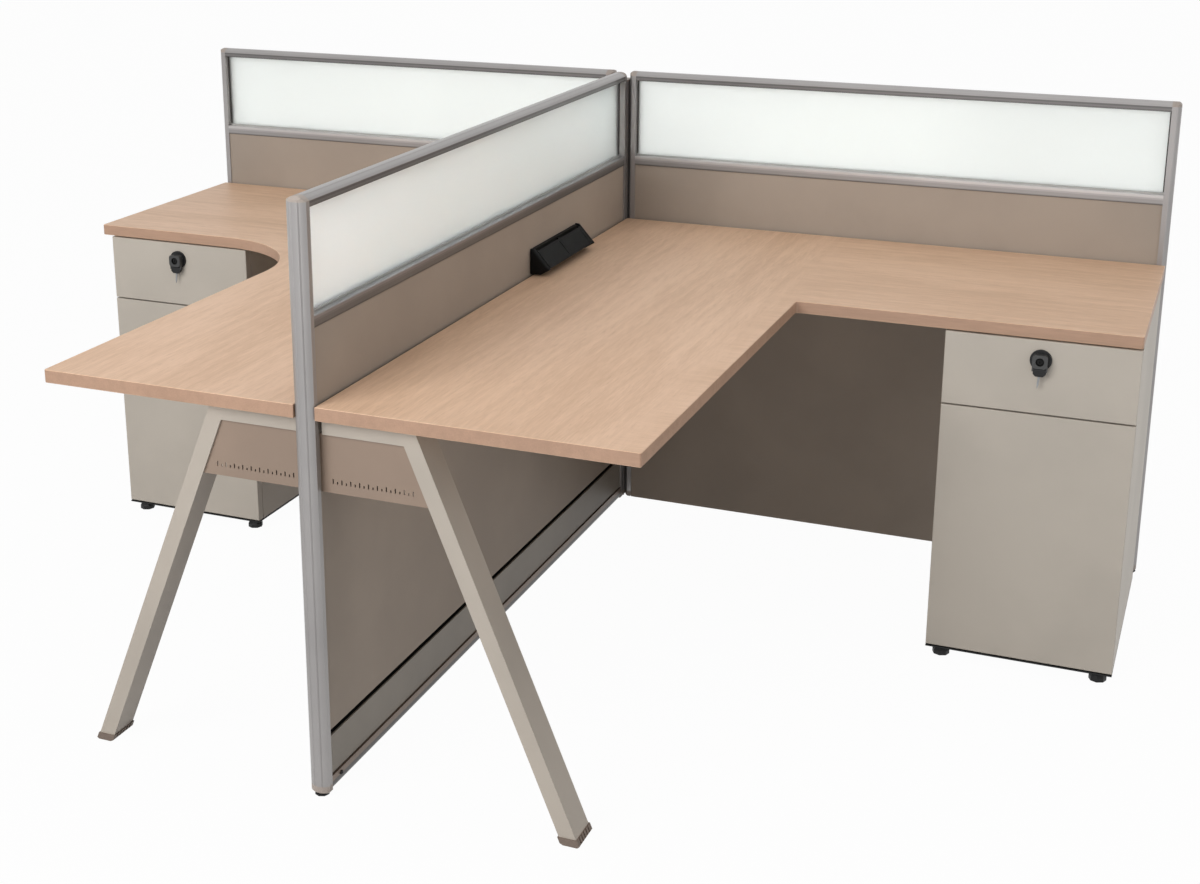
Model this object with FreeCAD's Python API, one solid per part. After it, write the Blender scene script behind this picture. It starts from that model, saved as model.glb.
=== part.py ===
import FreeCAD, Part
import math
import os

# Two-place office workstation: two L-shaped desks back to back on a framed divider screen,
# with a framed rear screen behind each desk. Millimetres, +Z up.
# X runs along the rear screens, Y runs from the open front to the rear screens.
# The origin is on the floor, under the middle of the whole outline.

Vector = FreeCAD.Vector

# Overall sizes
desk_height = 750.0
screen_height = 1115.0
screen_thickness = 38.0
place_length = 1570.0
right_reach = 1300.0
left_reach = 1150.0

# General clearances
seat_gap = 0.3
running_gap = 0.05
cut_overrun = 2.0
pick_tolerance = 0.01

# Screen frame: one aluminium extrusion for stiles and top rails
frame_depth = 20.0
frame_wall = 2.0
nose_rise = 9.0
flute_width = 3.0
flute_depth = 1.2
flute_offset = 7.5
groove_width = 10.4
groove_depth = 7.0
mid_rail_height = 22.0
mid_rail_bevel = 1.5
glass_share = 0.168
corner_cap_height = 10.0
corner_bevel = 7.0
cap_shares = (-1.0, -0.8, -0.5, -0.2, 0.2, 0.5, 0.8, 1.0)
bottom_cap_height = 15.0
bottom_cap_bevel = 3.0

# Screen infill
glass_thickness = 6.0
gasket_wall = 2.0
gasket_bite = 6.0
gasket_floor = 1.5
gasket_lip = 3.0
board_thickness = 32.0
tongue_thickness = 10.0
tongue_depth = 6.0

# Screen feet
foot_height = 5.0
foot_inset = 15.0
foot_sides = 8
foot_pad_radius = 14.0
foot_pad_height = 3.0
foot_neck_radius = 9.0

# Divider base with its cable raceway
bottom_rail_height = 30.0
bottom_rail_round = 13.0
raceway_height = 91.0
raceway_flange_height = 12.0
raceway_web = 3.0
raceway_neck = 10.0
cover_thickness = 3.0
cover_lower_gap = 2.0
cover_upper_gap = 12.0
cover_round = 1.0
junction_wall = 2.0
junction_drop = 24.0
junction_cap_height = 4.0

# Worktops
worktop_thickness = 25.0
worktop_front = 5.0
worktop_gap = 2.0
worktop_end_inset = 2.0
worktop_arris = 1.0
outer_corner_round = 4.0
right_main_reach = 610.0
left_main_reach = 540.0
right_return_depth = 600.0
left_return_depth = 555.0
right_inner_round = 6.0
left_inner_round = 250.0

# Angle brackets under the worktops
bracket_leg = 40.0
bracket_sheet = 3.0
bracket_length = 60.0
bracket_side_shares = (0.32, 0.62)
bracket_rear_shares = (0.15, 0.45)

# Sloped leg frames
leg_front = 24.0
leg_gap = 4.0
tube_depth = 60.0
tube_height = 30.0
tube_wall = 2.0
leg_top_reach = 200.0
leg_foot_reach = 500.0
foot_cap_height = 14.0
foot_cap_lip = 2.0
foot_cap_bevel = 3.0
foot_plug_length = 22.0
rib_count = 5
rib_groove_width = 4.0
rib_groove_depth = 2.0
gusset_height = 107.0
gusset_sheet = 2.0
gusset_setback = 4.0
gusset_flange = 16.0
slot_count = 19
slot_heights = (9.0, 5.0)
slot_width = 2.4
slot_rise = 17.0
slot_margin = 22.0

# Drawer pedestals
pedestal_width = 380.0
pedestal_depth = 520.0
pedestal_bottom = 28.0
pedestal_wall = 1.2
pedestal_setback = 2.0
pedestal_base_height = 3.0
pedestal_base_gap = 2.0
right_pedestal_inset = 0.0
left_pedestal_inset = 23.0
glide_inset = 29.0
glide_pad_radius = 18.0
glide_pad_height = 9.0
glide_neck_radius = 11.0

# Drawers
front_thickness = 20.0
front_round = 2.0
front_skin = 1.2
front_top_gap = 4.0
front_gap = 3.0
front_back_gap = 2.0
top_front_height = 153.0
tray_wall = 1.0
tray_depth = 450.0
tray_lift = 12.0
top_tray_height = 64.0
file_tray_height = 290.0
drawer_travel = 400.0

# Telescopic drawer runners, measured from the carcass wall towards the tray
runner_width = 12.5
runner_sheet = 1.5
runner_overlap = 48.0
runner_setback = 3.0
fixed_half_height = 22.0
fixed_lip = 9.0
middle_offset = 3.0
middle_lip = 9.5
drawer_member_lip = 6.0
runner_rise = 32.0
file_runner_rise = 150.0

# Drawer lock with a folding key
lock_drop = 40.0
rosette_radius = 21.5
rosette_thickness = 4.0
barrel_radius = 6.0
lock_hole_width = 14.0
barrel_tail = 6.0
knob_width = 30.0
knob_height = 28.0
knob_depth = 14.0
knob_corner_round = 7.0
recess_radius = 8.5
recess_depth = 6.0
keyway_width = 3.0
keyway_height = 9.0
keyway_depth = 3.0
ear_width = 2.2
ear_drop = 7.0
key_thickness = 7.0
key_length = 13.0
key_bevel = 5.0
key_pin_radius = 1.0
key_pin_length = 1.8
key_slit = 0.5
cam_thickness = 2.5
cam_reach = 23.0
cam_width = 13.0
cam_gap = 1.0

# Power modules on the divider
module_start = 968.0
module_length = 256.0
module_lift = 2.0
module_frame_thickness = 8.0
module_frame_height = 56.0
module_frame_margin = 5.0
module_frame_round = 12.0
module_wall = 5.0
module_floor = 2.5
hood_top_out = 6.0
hood_top_height = 52.0
hood_lip_out = 38.0
hood_lip_height = 16.0
hood_floor_height = 4.0
lid_thickness = 3.0
lid_gap = 0.4
lid_pin_radius = 1.0
lid_pin_length = 2.0
lid_field_inset = 6.0
lid_field_depth = 0.8
socket_depth = 15.0
socket_thickness = 4.0
socket_recess_length = 24.0
socket_recess_width = 16.0
socket_recess_depth = 2.0
socket_slot_length = 7.0
socket_slot_width = 2.5
socket_slot_spacing = 12.0
socket_shares = (0.28, 0.72)

# Places worked out from the sizes above
half_screen = screen_thickness / 2
half_board = board_thickness / 2
divider_x = (left_reach - right_reach) / 2
front_y = -(place_length + screen_thickness) / 2
divider_length = place_length - seat_gap
worktop_underside = desk_height - worktop_thickness
stile_bottom = foot_height + bottom_cap_height
stile_top = screen_height - corner_cap_height
rail_underside = screen_height - frame_depth
mid_rail_top = rail_underside - screen_height * glass_share
mid_rail_bottom = mid_rail_top - mid_rail_height
raceway_bottom = foot_height + bottom_rail_height
raceway_top = raceway_bottom + raceway_height
pedestal_base_top = pedestal_bottom - pedestal_base_gap
pedestal_base_bottom = pedestal_base_top - pedestal_base_height
leg_slope = (leg_foot_reach - leg_top_reach) / worktop_underside
leg_level_width = tube_height * math.hypot(1, leg_slope)
top_front_top = worktop_underside - front_top_gap
top_front_bottom = top_front_top - top_front_height
file_front_top = top_front_bottom - front_gap
tray_side = pedestal_wall + runner_width
runner_length = drawer_travel + runner_overlap
top_tray_bottom = top_front_bottom + tray_lift
file_tray_bottom = pedestal_bottom + pedestal_wall + tray_lift
top_runner_height = top_tray_bottom + runner_rise
file_runner_height = file_tray_bottom + file_runner_rise
lock_height = top_front_top - lock_drop
knob_back = -(rosette_thickness + seat_gap)
knob_front = knob_back - knob_depth
key_axis_y = (knob_back + knob_front) / 2
key_axis_drop = knob_height / 2 + key_thickness / 2 + key_slit
hood_slope = math.hypot(hood_lip_out - hood_top_out, hood_top_height - hood_lip_height)
hood_run = (hood_lip_out - hood_top_out) / hood_slope
hood_fall = (hood_top_height - hood_lip_height) / hood_slope
module_bottom = desk_height + module_lift
bay_length = (module_length - 3 * module_wall) / 2
lid_axis_inset = lid_thickness / 2
lid_axis_out = module_frame_thickness + hood_top_out + (hood_run - hood_fall) * lid_axis_inset
lid_axis_height = module_bottom + hood_top_height - (hood_fall + hood_run) * lid_axis_inset

# The two places: sizes that differ between the right-hand and the left-hand desk
places = {
    "right": {
        "side": 1,
        "reach": right_reach,
        "main_reach": right_main_reach,
        "return_depth": right_return_depth,
        "inner_round": right_inner_round,
        "pedestal_inset": right_pedestal_inset,
    },
    "left": {
        "side": -1,
        "reach": left_reach,
        "main_reach": left_main_reach,
        "return_depth": left_return_depth,
        "inner_round": left_inner_round,
        "pedestal_inset": left_pedestal_inset,
    },
}


def box(low, high):
    size = [b - a for a, b in zip(low, high)]
    return Part.makeBox(size[0], size[1], size[2], Vector(*low))


def face_of(points):
    corners = [Vector(*point) for point in points]
    return Part.Face(Part.makePolygon(corners + corners[:1]))


def prism_along_x(outline, x0, x1):
    face = face_of([(x0, y, z) for y, z in outline])
    return face.extrude(Vector(x1 - x0, 0, 0))


def prism_along_y(outline, y0, y1):
    face = face_of([(x, y0, z) for x, z in outline])
    return face.extrude(Vector(0, y1 - y0, 0))


def prism_along_z(outline, z0, z1):
    face = face_of([(x, y, z0) for x, y in outline])
    return face.extrude(Vector(0, 0, z1 - z0))


def rod_along_y(radius, centre_x, centre_z, y0, y1):
    return Part.makeCylinder(radius, y1 - y0, Vector(centre_x, y0, centre_z), Vector(0, 1, 0))


def rod_along_x(radius, centre_y, centre_z, x0, x1):
    return Part.makeCylinder(radius, x1 - x0, Vector(x0, centre_y, centre_z), Vector(1, 0, 0))


def edges_along(shape, direction):
    """Straight edges of a shape that run along one direction."""
    found = []
    for edge in shape.Edges:
        if isinstance(edge.Curve, Part.Line):
            run = edge.Vertexes[-1].Point - edge.Vertexes[0].Point
            if abs(run.dot(direction)) > run.Length - pick_tolerance:
                found.append(edge)
    return found


def edges_at_height(shape, height):
    """Edges that lie wholly in one level plane."""
    found = []
    for edge in shape.Edges:
        extent = edge.BoundBox
        if abs(extent.ZMin - height) < pick_tolerance and abs(extent.ZMax - height) < pick_tolerance:
            found.append(edge)
    return found


def edges_at_depth(shape, depth):
    """Edges that lie wholly in one plane square to Y."""
    found = []
    for edge in shape.Edges:
        extent = edge.BoundBox
        if abs(extent.YMin - depth) < pick_tolerance and abs(extent.YMax - depth) < pick_tolerance:
            found.append(edge)
    return found


def round_upright_corner(shape, corner, radius):
    """Round the upright edge of a board at one corner of its outline."""
    edges = []
    for edge in edges_along(shape, Vector(0, 0, 1)):
        point = edge.Vertexes[0].Point
        if math.hypot(point.x - corner[0], point.y - corner[1]) < pick_tolerance:
            edges.append(edge)
    return shape.makeFillet(radius, edges)


def oriented(shape, origin, inward, along):
    """Stand a bar drawn along Z with its nose towards -Y on an origin, facing a new way."""
    across = inward.cross(along)
    turn = FreeCAD.Matrix(
        across.x, inward.x, along.x, origin.x,
        across.y, inward.y, along.y, origin.y,
        across.z, inward.z, along.z, origin.z,
        0, 0, 0, 1,
    )
    placed = shape.copy()
    placed.Placement = FreeCAD.Placement(turn)
    return placed


def place(shape, side):
    """Move a piece drawn outward from the divider to its own side of the workstation."""
    if side < 0:
        shape = shape.mirror(Vector(0, 0, 0), Vector(1, 0, 0))
    return shape.translated(Vector(divider_x, front_y, 0))


# Screen frame extrusion


def nose_face():
    """Closed outline of the frame extrusion: a round nose on a flat-sided block."""
    left = Vector(-half_screen, nose_rise, 0)
    right = Vector(half_screen, nose_rise, 0)
    back_right = Vector(half_screen, frame_depth, 0)
    back_left = Vector(-half_screen, frame_depth, 0)
    edges = [
        Part.Arc(left, Vector(0, 0, 0), right).toShape(),
        Part.makeLine(right, back_right),
        Part.makeLine(back_right, back_left),
        Part.makeLine(back_left, left),
    ]
    return Part.Face(Part.Wire(edges))


def nose_height(offset):
    """Depth of the nose curve at a distance from its crown."""
    radius = (half_screen ** 2 + nose_rise ** 2) / (2 * nose_rise)
    return radius - math.sqrt(radius ** 2 - offset ** 2)


def level_rectangle(x0, y0, x1, y1):
    return face_of([(x0, y0, 0), (x1, y0, 0), (x1, y1, 0), (x0, y1, 0)])


def frame_section():
    """Extrusion section: hollow behind the nose, two flutes, and a groove for the infill."""
    chamber_half = half_screen - frame_wall
    groove_floor = frame_depth - groove_depth
    section = nose_face()
    section = section.cut(
        level_rectangle(-chamber_half, nose_rise + frame_wall, chamber_half, groove_floor - frame_wall)
    )
    section = section.cut(
        level_rectangle(-groove_width / 2, groove_floor, groove_width / 2, frame_depth + cut_overrun)
    )
    for offset in (-flute_offset, flute_offset):
        sides = (offset - flute_width / 2, offset + flute_width / 2)
        flute = [
            (sides[0], -cut_overrun, 0), (sides[0], nose_height(sides[0]), 0),
            (offset, nose_height(offset) + flute_depth, 0),
            (sides[1], nose_height(sides[1]), 0), (sides[1], -cut_overrun, 0),
        ]
        section = section.cut(face_of(flute))
    return section


def frame_bar(length):
    return frame_section().extrude(Vector(0, 0, length)).Solids[0]


def cap_face():
    """Outline of a moulded cap: the extrusion's outline, with its nose in flats."""
    offsets = [half_screen * share for share in cap_shares]
    nose = [(offset, nose_height(offset), 0) for offset in offsets]
    return face_of(nose + [(half_screen, frame_depth, 0), (-half_screen, frame_depth, 0)])


def corner_cap():
    """Plastic cap on a stile that mitres its nose into the top rail, with a bevelled corner."""
    upright = cap_face().extrude(Vector(0, 0, corner_cap_height))
    level = cap_face().extrude(Vector(0, 0, frame_depth))
    level = oriented(level, Vector(0, 0, corner_cap_height), Vector(0, 0, -1), Vector(0, 1, 0))
    corner = prism_along_x(
        [
            (-cut_overrun, corner_cap_height - corner_bevel - cut_overrun),
            (corner_bevel + cut_overrun, corner_cap_height + cut_overrun),
            (-cut_overrun, corner_cap_height + cut_overrun),
        ],
        -screen_thickness, screen_thickness,
    )
    return upright.common(level).cut(corner).Solids[0]


def bottom_cap():
    block = cap_face().extrude(Vector(0, 0, bottom_cap_height))
    return block.makeChamfer(bottom_cap_bevel, edges_at_height(block, 0))


def many_sided(radius, height):
    """Level outline of a grip with flats all round, so that it can be turned by hand."""
    corners = []
    for index in range(foot_sides + 1):
        angle = 2 * math.pi * index / foot_sides
        corners.append(Vector(radius * math.cos(angle), radius * math.sin(angle), height))
    return Part.makePolygon(corners)


def levelling_foot(pad_radius, pad_height, neck_radius, height):
    """Screw-in foot: a pad with flats and a neck that tapers up to the piece above."""
    pad = Part.makeLoft([many_sided(pad_radius, 0), many_sided(pad_radius, pad_height)], True)
    neck = Part.makeLoft([many_sided(pad_radius, pad_height), many_sided(neck_radius, height)], True)
    return pad.fuse(neck).removeSplitter()


def screen_foot():
    return levelling_foot(foot_pad_radius, foot_pad_height, foot_neck_radius, foot_height)


# Screen panels, drawn along X from zero with their thickness centred on Y


def screen_ends(length):
    """Origin and inward direction of the two upright edges of a panel."""
    return ((Vector(0, 0, 0), Vector(1, 0, 0)), (Vector(length, 0, 0), Vector(-1, 0, 0)))


def screen_stiles(length):
    up = Vector(0, 0, 1)
    bar = frame_bar(stile_top - stile_bottom)
    stiles = [
        oriented(bar, end + up * stile_bottom, inward, up) for end, inward in screen_ends(length)
    ]
    return Part.makeCompound(stiles)


def screen_top_rail(length):
    bar = frame_bar(length - 2 * frame_depth)
    return oriented(bar, Vector(frame_depth, 0, screen_height), Vector(0, 0, -1), Vector(1, 0, 0))


def screen_mid_rail(length):
    """Rail under the glass, grooved above for the glass and below for the board."""
    low = (frame_depth, -half_screen, mid_rail_bottom)
    high = (length - frame_depth, half_screen, mid_rail_top)
    rail = box(low, high)
    rail = rail.makeChamfer(mid_rail_bevel, edges_along(rail, Vector(1, 0, 0)))
    for floor, mouth in (
        (mid_rail_top - groove_depth, mid_rail_top + cut_overrun),
        (mid_rail_bottom - cut_overrun, mid_rail_bottom + groove_depth),
    ):
        groove = box(
            (low[0] - cut_overrun, -groove_width / 2, floor),
            (high[0] + cut_overrun, groove_width / 2, mouth),
        )
        rail = rail.cut(groove)
    return rail


def pane(length, inset, thickness):
    """Upright slab over the glass opening, grown into the frame grooves by the gasket bite."""
    reach = gasket_bite - inset
    return box(
        (frame_depth - reach, -thickness / 2, mid_rail_top - reach),
        (length - frame_depth + reach, thickness / 2, rail_underside + reach),
    )


def screen_glass(length):
    return pane(length, gasket_floor, glass_thickness)


def screen_gasket(length):
    """Channel gasket round the edge of the pane."""
    thickness = glass_thickness + 2 * gasket_wall
    ring = pane(length, 0, thickness)
    ring = ring.cut(pane(length, gasket_bite + gasket_lip, thickness + cut_overrun))
    return ring.cut(screen_glass(length))


def screen_board(length, bottom):
    """Board below the glass, with tongues that sit in the frame and mid rail grooves."""
    core = box(
        (frame_depth, -half_board, bottom),
        (length - frame_depth, half_board, mid_rail_bottom),
    )
    tongue = box(
        (frame_depth - tongue_depth, -tongue_thickness / 2, max(bottom, stile_bottom)),
        (length - frame_depth + tongue_depth, tongue_thickness / 2, mid_rail_bottom),
    )
    crest = box(
        (frame_depth, -tongue_thickness / 2, mid_rail_bottom),
        (length - frame_depth, tongue_thickness / 2, mid_rail_bottom + tongue_depth),
    )
    return core.fuse([tongue, crest]).removeSplitter()


def top_caps(length):
    """Corner caps where the stiles meet the top rail."""
    up = Vector(0, 0, 1)
    ends = screen_ends(length)
    return [oriented(corner_cap(), end + up * stile_top, inward, up) for end, inward in ends]


def end_caps(length):
    """Bevelled caps under the stiles."""
    up = Vector(0, 0, 1)
    ends = screen_ends(length)
    return [oriented(bottom_cap(), end + up * foot_height, inward, up) for end, inward in ends]


def divider_foot():
    return screen_foot().translated(Vector(foot_inset, 0, 0))


def rear_foot(length):
    return screen_foot().translated(Vector(length - foot_inset, 0, 0))


def as_divider(shape):
    """Turn a panel so that it runs back from the front, on the line between the two places."""
    turned = shape.copy()
    turned.rotate(Vector(0, 0, 0), Vector(0, 0, 1), 90)
    return place(turned, 1)


def as_rear(shape, side):
    """Stand a panel behind one place, starting at the junction post."""
    start = Vector(half_screen + seat_gap, place_length + half_screen, 0)
    return place(shape.translated(start), side)


def rear_length(reach):
    return reach - half_screen - seat_gap


# Divider base and the post where the three screens meet


def divider_bottom_rail():
    """Hollow rail under the raceway, with a flat side above and a round lower half."""
    start = frame_depth
    end = divider_length - frame_depth
    rail = box((start, -half_screen, foot_height), (end, half_screen, raceway_bottom))
    lower = [
        edge for edge in edges_along(rail, Vector(1, 0, 0))
        if edge.BoundBox.ZMax < raceway_bottom - pick_tolerance
    ]
    rail = rail.makeFillet(bottom_rail_round, lower)
    chamber_half = half_screen - frame_wall
    chamber = box(
        (start - cut_overrun, -chamber_half, foot_height + bottom_rail_round),
        (end + cut_overrun, chamber_half, raceway_bottom - frame_wall),
    )
    return rail.cut(chamber)


def divider_raceway_tray():
    """Cable tray of I section on the bottom rail, with a neck that carries the divider board."""
    half = half_board - cover_thickness
    web = raceway_web / 2
    neck = raceway_neck / 2
    low_flange = raceway_bottom + raceway_flange_height
    shoulder = raceway_top - cover_upper_gap
    high_flange = shoulder - raceway_flange_height
    right = [
        (half, raceway_bottom), (half, low_flange), (web, low_flange), (web, high_flange),
        (half, high_flange), (half, shoulder), (neck, shoulder), (neck, raceway_top),
    ]
    left = [(-across, height) for across, height in reversed(right)]
    return prism_along_x(right + left, frame_depth, divider_length - frame_depth)


def divider_raceway_covers():
    covers = []
    for side in (-1, 1):
        faces = sorted((side * (half_board - cover_thickness), side * half_board))
        cover = box(
            (frame_depth, faces[0], raceway_bottom + cover_lower_gap),
            (divider_length - frame_depth, faces[1], raceway_top - cover_upper_gap),
        )
        outer = []
        for edge in edges_along(cover, Vector(1, 0, 0)):
            if abs(edge.BoundBox.YMin - side * half_board) < pick_tolerance:
                outer.append(edge)
        covers.append(cover.makeFillet(cover_round, outer))
    return Part.makeCompound(covers)


def junction_post():
    """Square tube that the three screens are tied to."""
    top = screen_height - junction_drop
    rear = place_length + screen_thickness
    tube = box((-half_screen, place_length, stile_bottom), (half_screen, rear, top))
    bore = box(
        (junction_wall - half_screen, place_length + junction_wall, stile_bottom - cut_overrun),
        (half_screen - junction_wall, rear - junction_wall, top + cut_overrun),
    )
    return tube.cut(bore)


def junction_caps():
    """Flat cap on the top of the post and a bevelled cap under it."""
    top = screen_height - junction_drop
    rear = place_length + screen_thickness
    upper = box((-half_screen, place_length, top), (half_screen, rear, top + junction_cap_height))
    lower = box((-half_screen, place_length, foot_height), (half_screen, rear, stile_bottom))
    return [upper, lower.makeChamfer(bottom_cap_bevel, edges_at_height(lower, foot_height))]


def junction_foot():
    return screen_foot().translated(Vector(0, place_length + half_screen, 0))


# Worktops and their brackets, drawn outward from the divider


def worktop(place_sizes):
    inner_x = half_screen + worktop_gap
    open_x = place_sizes["main_reach"]
    end_x = place_sizes["reach"] - worktop_end_inset
    rear_y = place_length - worktop_gap
    return_y = place_length - place_sizes["return_depth"]
    outline = [
        (inner_x, worktop_front), (open_x, worktop_front), (open_x, return_y),
        (end_x, return_y), (end_x, rear_y), (inner_x, rear_y),
    ]
    board = prism_along_z(outline, worktop_underside, desk_height)
    board = round_upright_corner(board, (open_x, return_y), place_sizes["inner_round"])
    board = round_upright_corner(board, (open_x, worktop_front), outer_corner_round)
    board = round_upright_corner(board, (end_x, return_y), outer_corner_round)
    board = board.makeChamfer(worktop_arris, edges_at_height(board, desk_height))
    return board.makeChamfer(worktop_arris, edges_at_height(board, worktop_underside))


def angle_bracket():
    """Angle with one leg under the worktop and one against a screen, drawn along Y from zero."""
    outline = [
        (0, -bracket_leg), (bracket_sheet, -bracket_leg), (bracket_sheet, -bracket_sheet),
        (bracket_leg, -bracket_sheet), (bracket_leg, 0), (0, 0),
    ]
    return prism_along_y(outline, 0, bracket_length)


def place_brackets(place_sizes):
    brackets = []
    for share in bracket_side_shares:
        at = Vector(half_board, place_length * share, worktop_underside)
        brackets.append(angle_bracket().translated(at))
    rear_face = place_length + half_screen - half_board
    for share in bracket_rear_shares:
        turned = angle_bracket()
        turned.rotate(Vector(0, 0, 0), Vector(0, 0, 1), -90)
        at = Vector(place_sizes["reach"] * share, rear_face, worktop_underside)
        brackets.append(turned.translated(at))
    return [place(bracket, place_sizes["side"]) for bracket in brackets]


# Sloped leg frame at the front of each place, drawn outward from the divider


def leg_outer(height):
    """Distance from the divider of the leg's outer face at a height above the floor."""
    return leg_top_reach + leg_slope * (worktop_underside - height)


def leg_inner(height):
    return leg_outer(height) - leg_level_width


def mitre_point(share):
    """Point on the mitre between the top tube and the leg, from its outer to its inner corner."""
    inner_height = worktop_underside - tube_height
    outer = (leg_outer(worktop_underside), worktop_underside)
    inner = (leg_inner(inner_height), inner_height)
    return tuple(a + (b - a) * share for a, b in zip(outer, inner))


def leg_top_tube():
    start = half_screen + leg_gap
    lower = worktop_underside - tube_height
    wall_share = tube_wall / tube_height
    skin = [(start, lower), (start, worktop_underside), mitre_point(0), mitre_point(1)]
    bore = [
        (start - cut_overrun, lower + tube_wall), (start - cut_overrun, worktop_underside - tube_wall),
        mitre_point(wall_share), mitre_point(1 - wall_share),
    ]
    rear = leg_front + tube_depth
    tube = prism_along_y(skin, leg_front, rear)
    return tube.cut(prism_along_y(bore, leg_front + tube_wall, rear - tube_wall))


def leg_tube():
    wall_share = tube_wall / tube_height
    level_wall = leg_level_width * wall_share
    open_end = foot_cap_height - cut_overrun
    skin = [
        mitre_point(0), mitre_point(1),
        (leg_inner(foot_cap_height), foot_cap_height), (leg_outer(foot_cap_height), foot_cap_height),
    ]
    bore = [
        mitre_point(wall_share), mitre_point(1 - wall_share),
        (leg_inner(open_end) + level_wall, open_end), (leg_outer(open_end) - level_wall, open_end),
    ]
    rear = leg_front + tube_depth
    tube = prism_along_y(skin, leg_front, rear)
    return tube.cut(prism_along_y(bore, leg_front + tube_wall, rear - tube_wall))


def leg_foot_cap():
    """Plastic end cap: a ribbed shoe below the tube and a plug inside it."""
    rear = leg_front + tube_depth
    shoe = prism_along_y(
        [
            (leg_inner(foot_cap_height) - foot_cap_lip, foot_cap_height),
            (leg_outer(foot_cap_height) + foot_cap_lip, foot_cap_height),
            (leg_outer(foot_cap_bevel) + foot_cap_lip, foot_cap_bevel),
            (leg_outer(0) - foot_cap_bevel, 0),
            (leg_inner(0) + foot_cap_bevel, 0),
            (leg_inner(foot_cap_bevel) - foot_cap_lip, foot_cap_bevel),
        ],
        leg_front - foot_cap_lip, rear + foot_cap_lip,
    )
    pitch = tube_depth / (rib_count + 1)
    for index in range(rib_count):
        middle = leg_front + pitch * (index + 1)
        for edge_of, outward in ((leg_inner, -1), (leg_outer, 1)):
            outline = []
            for height in (foot_cap_bevel, foot_cap_height + cut_overrun):
                rim = edge_of(height) + outward * foot_cap_lip
                ends = (rim - outward * rib_groove_depth, rim + outward * cut_overrun)
                outline.append([(end, height) for end in ends])
            ring = outline[0] + outline[1][::-1]
            shoe = shoe.cut(
                prism_along_y(ring, middle - rib_groove_width / 2, middle + rib_groove_width / 2)
            )
    level_wall = leg_level_width * tube_wall / tube_height + seat_gap
    plug_top = foot_cap_height + foot_plug_length
    plug = prism_along_y(
        [
            (leg_inner(foot_cap_height) + level_wall, foot_cap_height),
            (leg_outer(foot_cap_height) - level_wall, foot_cap_height),
            (leg_outer(plug_top) - level_wall, plug_top),
            (leg_inner(plug_top) + level_wall, plug_top),
        ],
        leg_front + tube_wall + seat_gap, rear - tube_wall - seat_gap,
    )
    return shoe.fuse(plug).removeSplitter()


def leg_gusset():
    """Folded plate that ties the leg to the divider, with a row of upright slots, long and short."""
    near = half_board
    upper = worktop_underside - tube_height
    lower = upper - gusset_height
    face_y = leg_front + gusset_setback
    fold_y = face_y + gusset_flange
    plate = prism_along_y(
        [(near, upper), (leg_inner(upper), upper), (leg_inner(lower), lower), (near, lower)],
        face_y, face_y + gusset_sheet,
    )
    side_fold = box((near, face_y, lower), (near + gusset_sheet, fold_y, upper))
    low_fold = prism_along_y(
        [
            (near, lower), (leg_inner(lower), lower),
            (leg_inner(lower + gusset_sheet), lower + gusset_sheet), (near, lower + gusset_sheet),
        ],
        face_y, fold_y,
    )
    gusset = plate.fuse([side_fold, low_fold]).removeSplitter()
    first = near + slot_margin
    span = leg_inner(lower + slot_rise) - slot_margin - slot_width - first
    slots = []
    for index in range(slot_count):
        start = first + span * index / (slot_count - 1)
        slot_top = lower + slot_rise + slot_heights[index % len(slot_heights)]
        slots.append(box(
            (start, face_y - cut_overrun, lower + slot_rise),
            (start + slot_width, face_y + gusset_sheet + cut_overrun, slot_top),
        ))
    return gusset.cut(slots)


# Drawer pedestal, drawn from its own front left corner on the floor


def pedestal_carcass():
    """Folded steel case, open at the front behind the drawer fronts."""
    front = front_thickness + front_back_gap
    case = box((0, front, pedestal_bottom), (pedestal_width, pedestal_depth, worktop_underside))
    inside = box(
        (pedestal_wall, front - cut_overrun, pedestal_bottom + pedestal_wall),
        (pedestal_width - pedestal_wall, pedestal_depth - pedestal_wall, worktop_underside - pedestal_wall),
    )
    return case.cut(inside)


def drawer_front(bottom, top):
    """Double-skin steel front with softened face edges."""
    front = box((0, 0, bottom), (pedestal_width, front_thickness, top))
    front = front.makeFillet(front_round, edges_at_depth(front, 0))
    inset = front_round + front_skin
    chamber = box(
        (inset, front_skin, bottom + inset),
        (pedestal_width - inset, front_thickness - front_skin, top - inset),
    )
    return front.cut(chamber)


def lock_hole(y0, y1):
    """Square hole that clears the lock barrel."""
    centre = pedestal_width / 2
    half = lock_hole_width / 2
    return box((centre - half, y0, lock_height - half), (centre + half, y1, lock_height + half))


def top_drawer_front():
    """Front with a round bore for the lock barrel, and a square hole in its inner skin."""
    front = drawer_front(top_front_bottom, top_front_top)
    bore = rod_along_y(
        barrel_radius + running_gap, pedestal_width / 2, lock_height,
        -cut_overrun, front_skin + cut_overrun,
    )
    inner_skin = front_thickness - front_skin
    return front.cut(bore).cut(lock_hole(inner_skin - cut_overrun, front_thickness + cut_overrun))


def file_drawer_front():
    return drawer_front(pedestal_bottom, file_front_top)


def drawer_tray(bottom, height):
    """Open steel tray fixed to the back of its drawer front."""
    rear = front_thickness + tray_depth
    tray = box((tray_side, front_thickness, bottom), (pedestal_width - tray_side, rear, bottom + height))
    inside = box(
        (tray_side + tray_wall, front_thickness + tray_wall, bottom + tray_wall),
        (pedestal_width - tray_side - tray_wall, rear - tray_wall, bottom + height + cut_overrun),
    )
    return tray.cut(inside)


def runner_channel(back, lip_end, half_height):
    """C section between its back, against one neighbour, and the ends of its two lips."""
    inside = back + math.copysign(runner_sheet, lip_end - back)
    inner = half_height - runner_sheet
    return [
        (back, -half_height), (lip_end, -half_height), (lip_end, -inner), (inside, -inner),
        (inside, inner), (lip_end, inner), (lip_end, half_height), (back, half_height),
    ]


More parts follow.
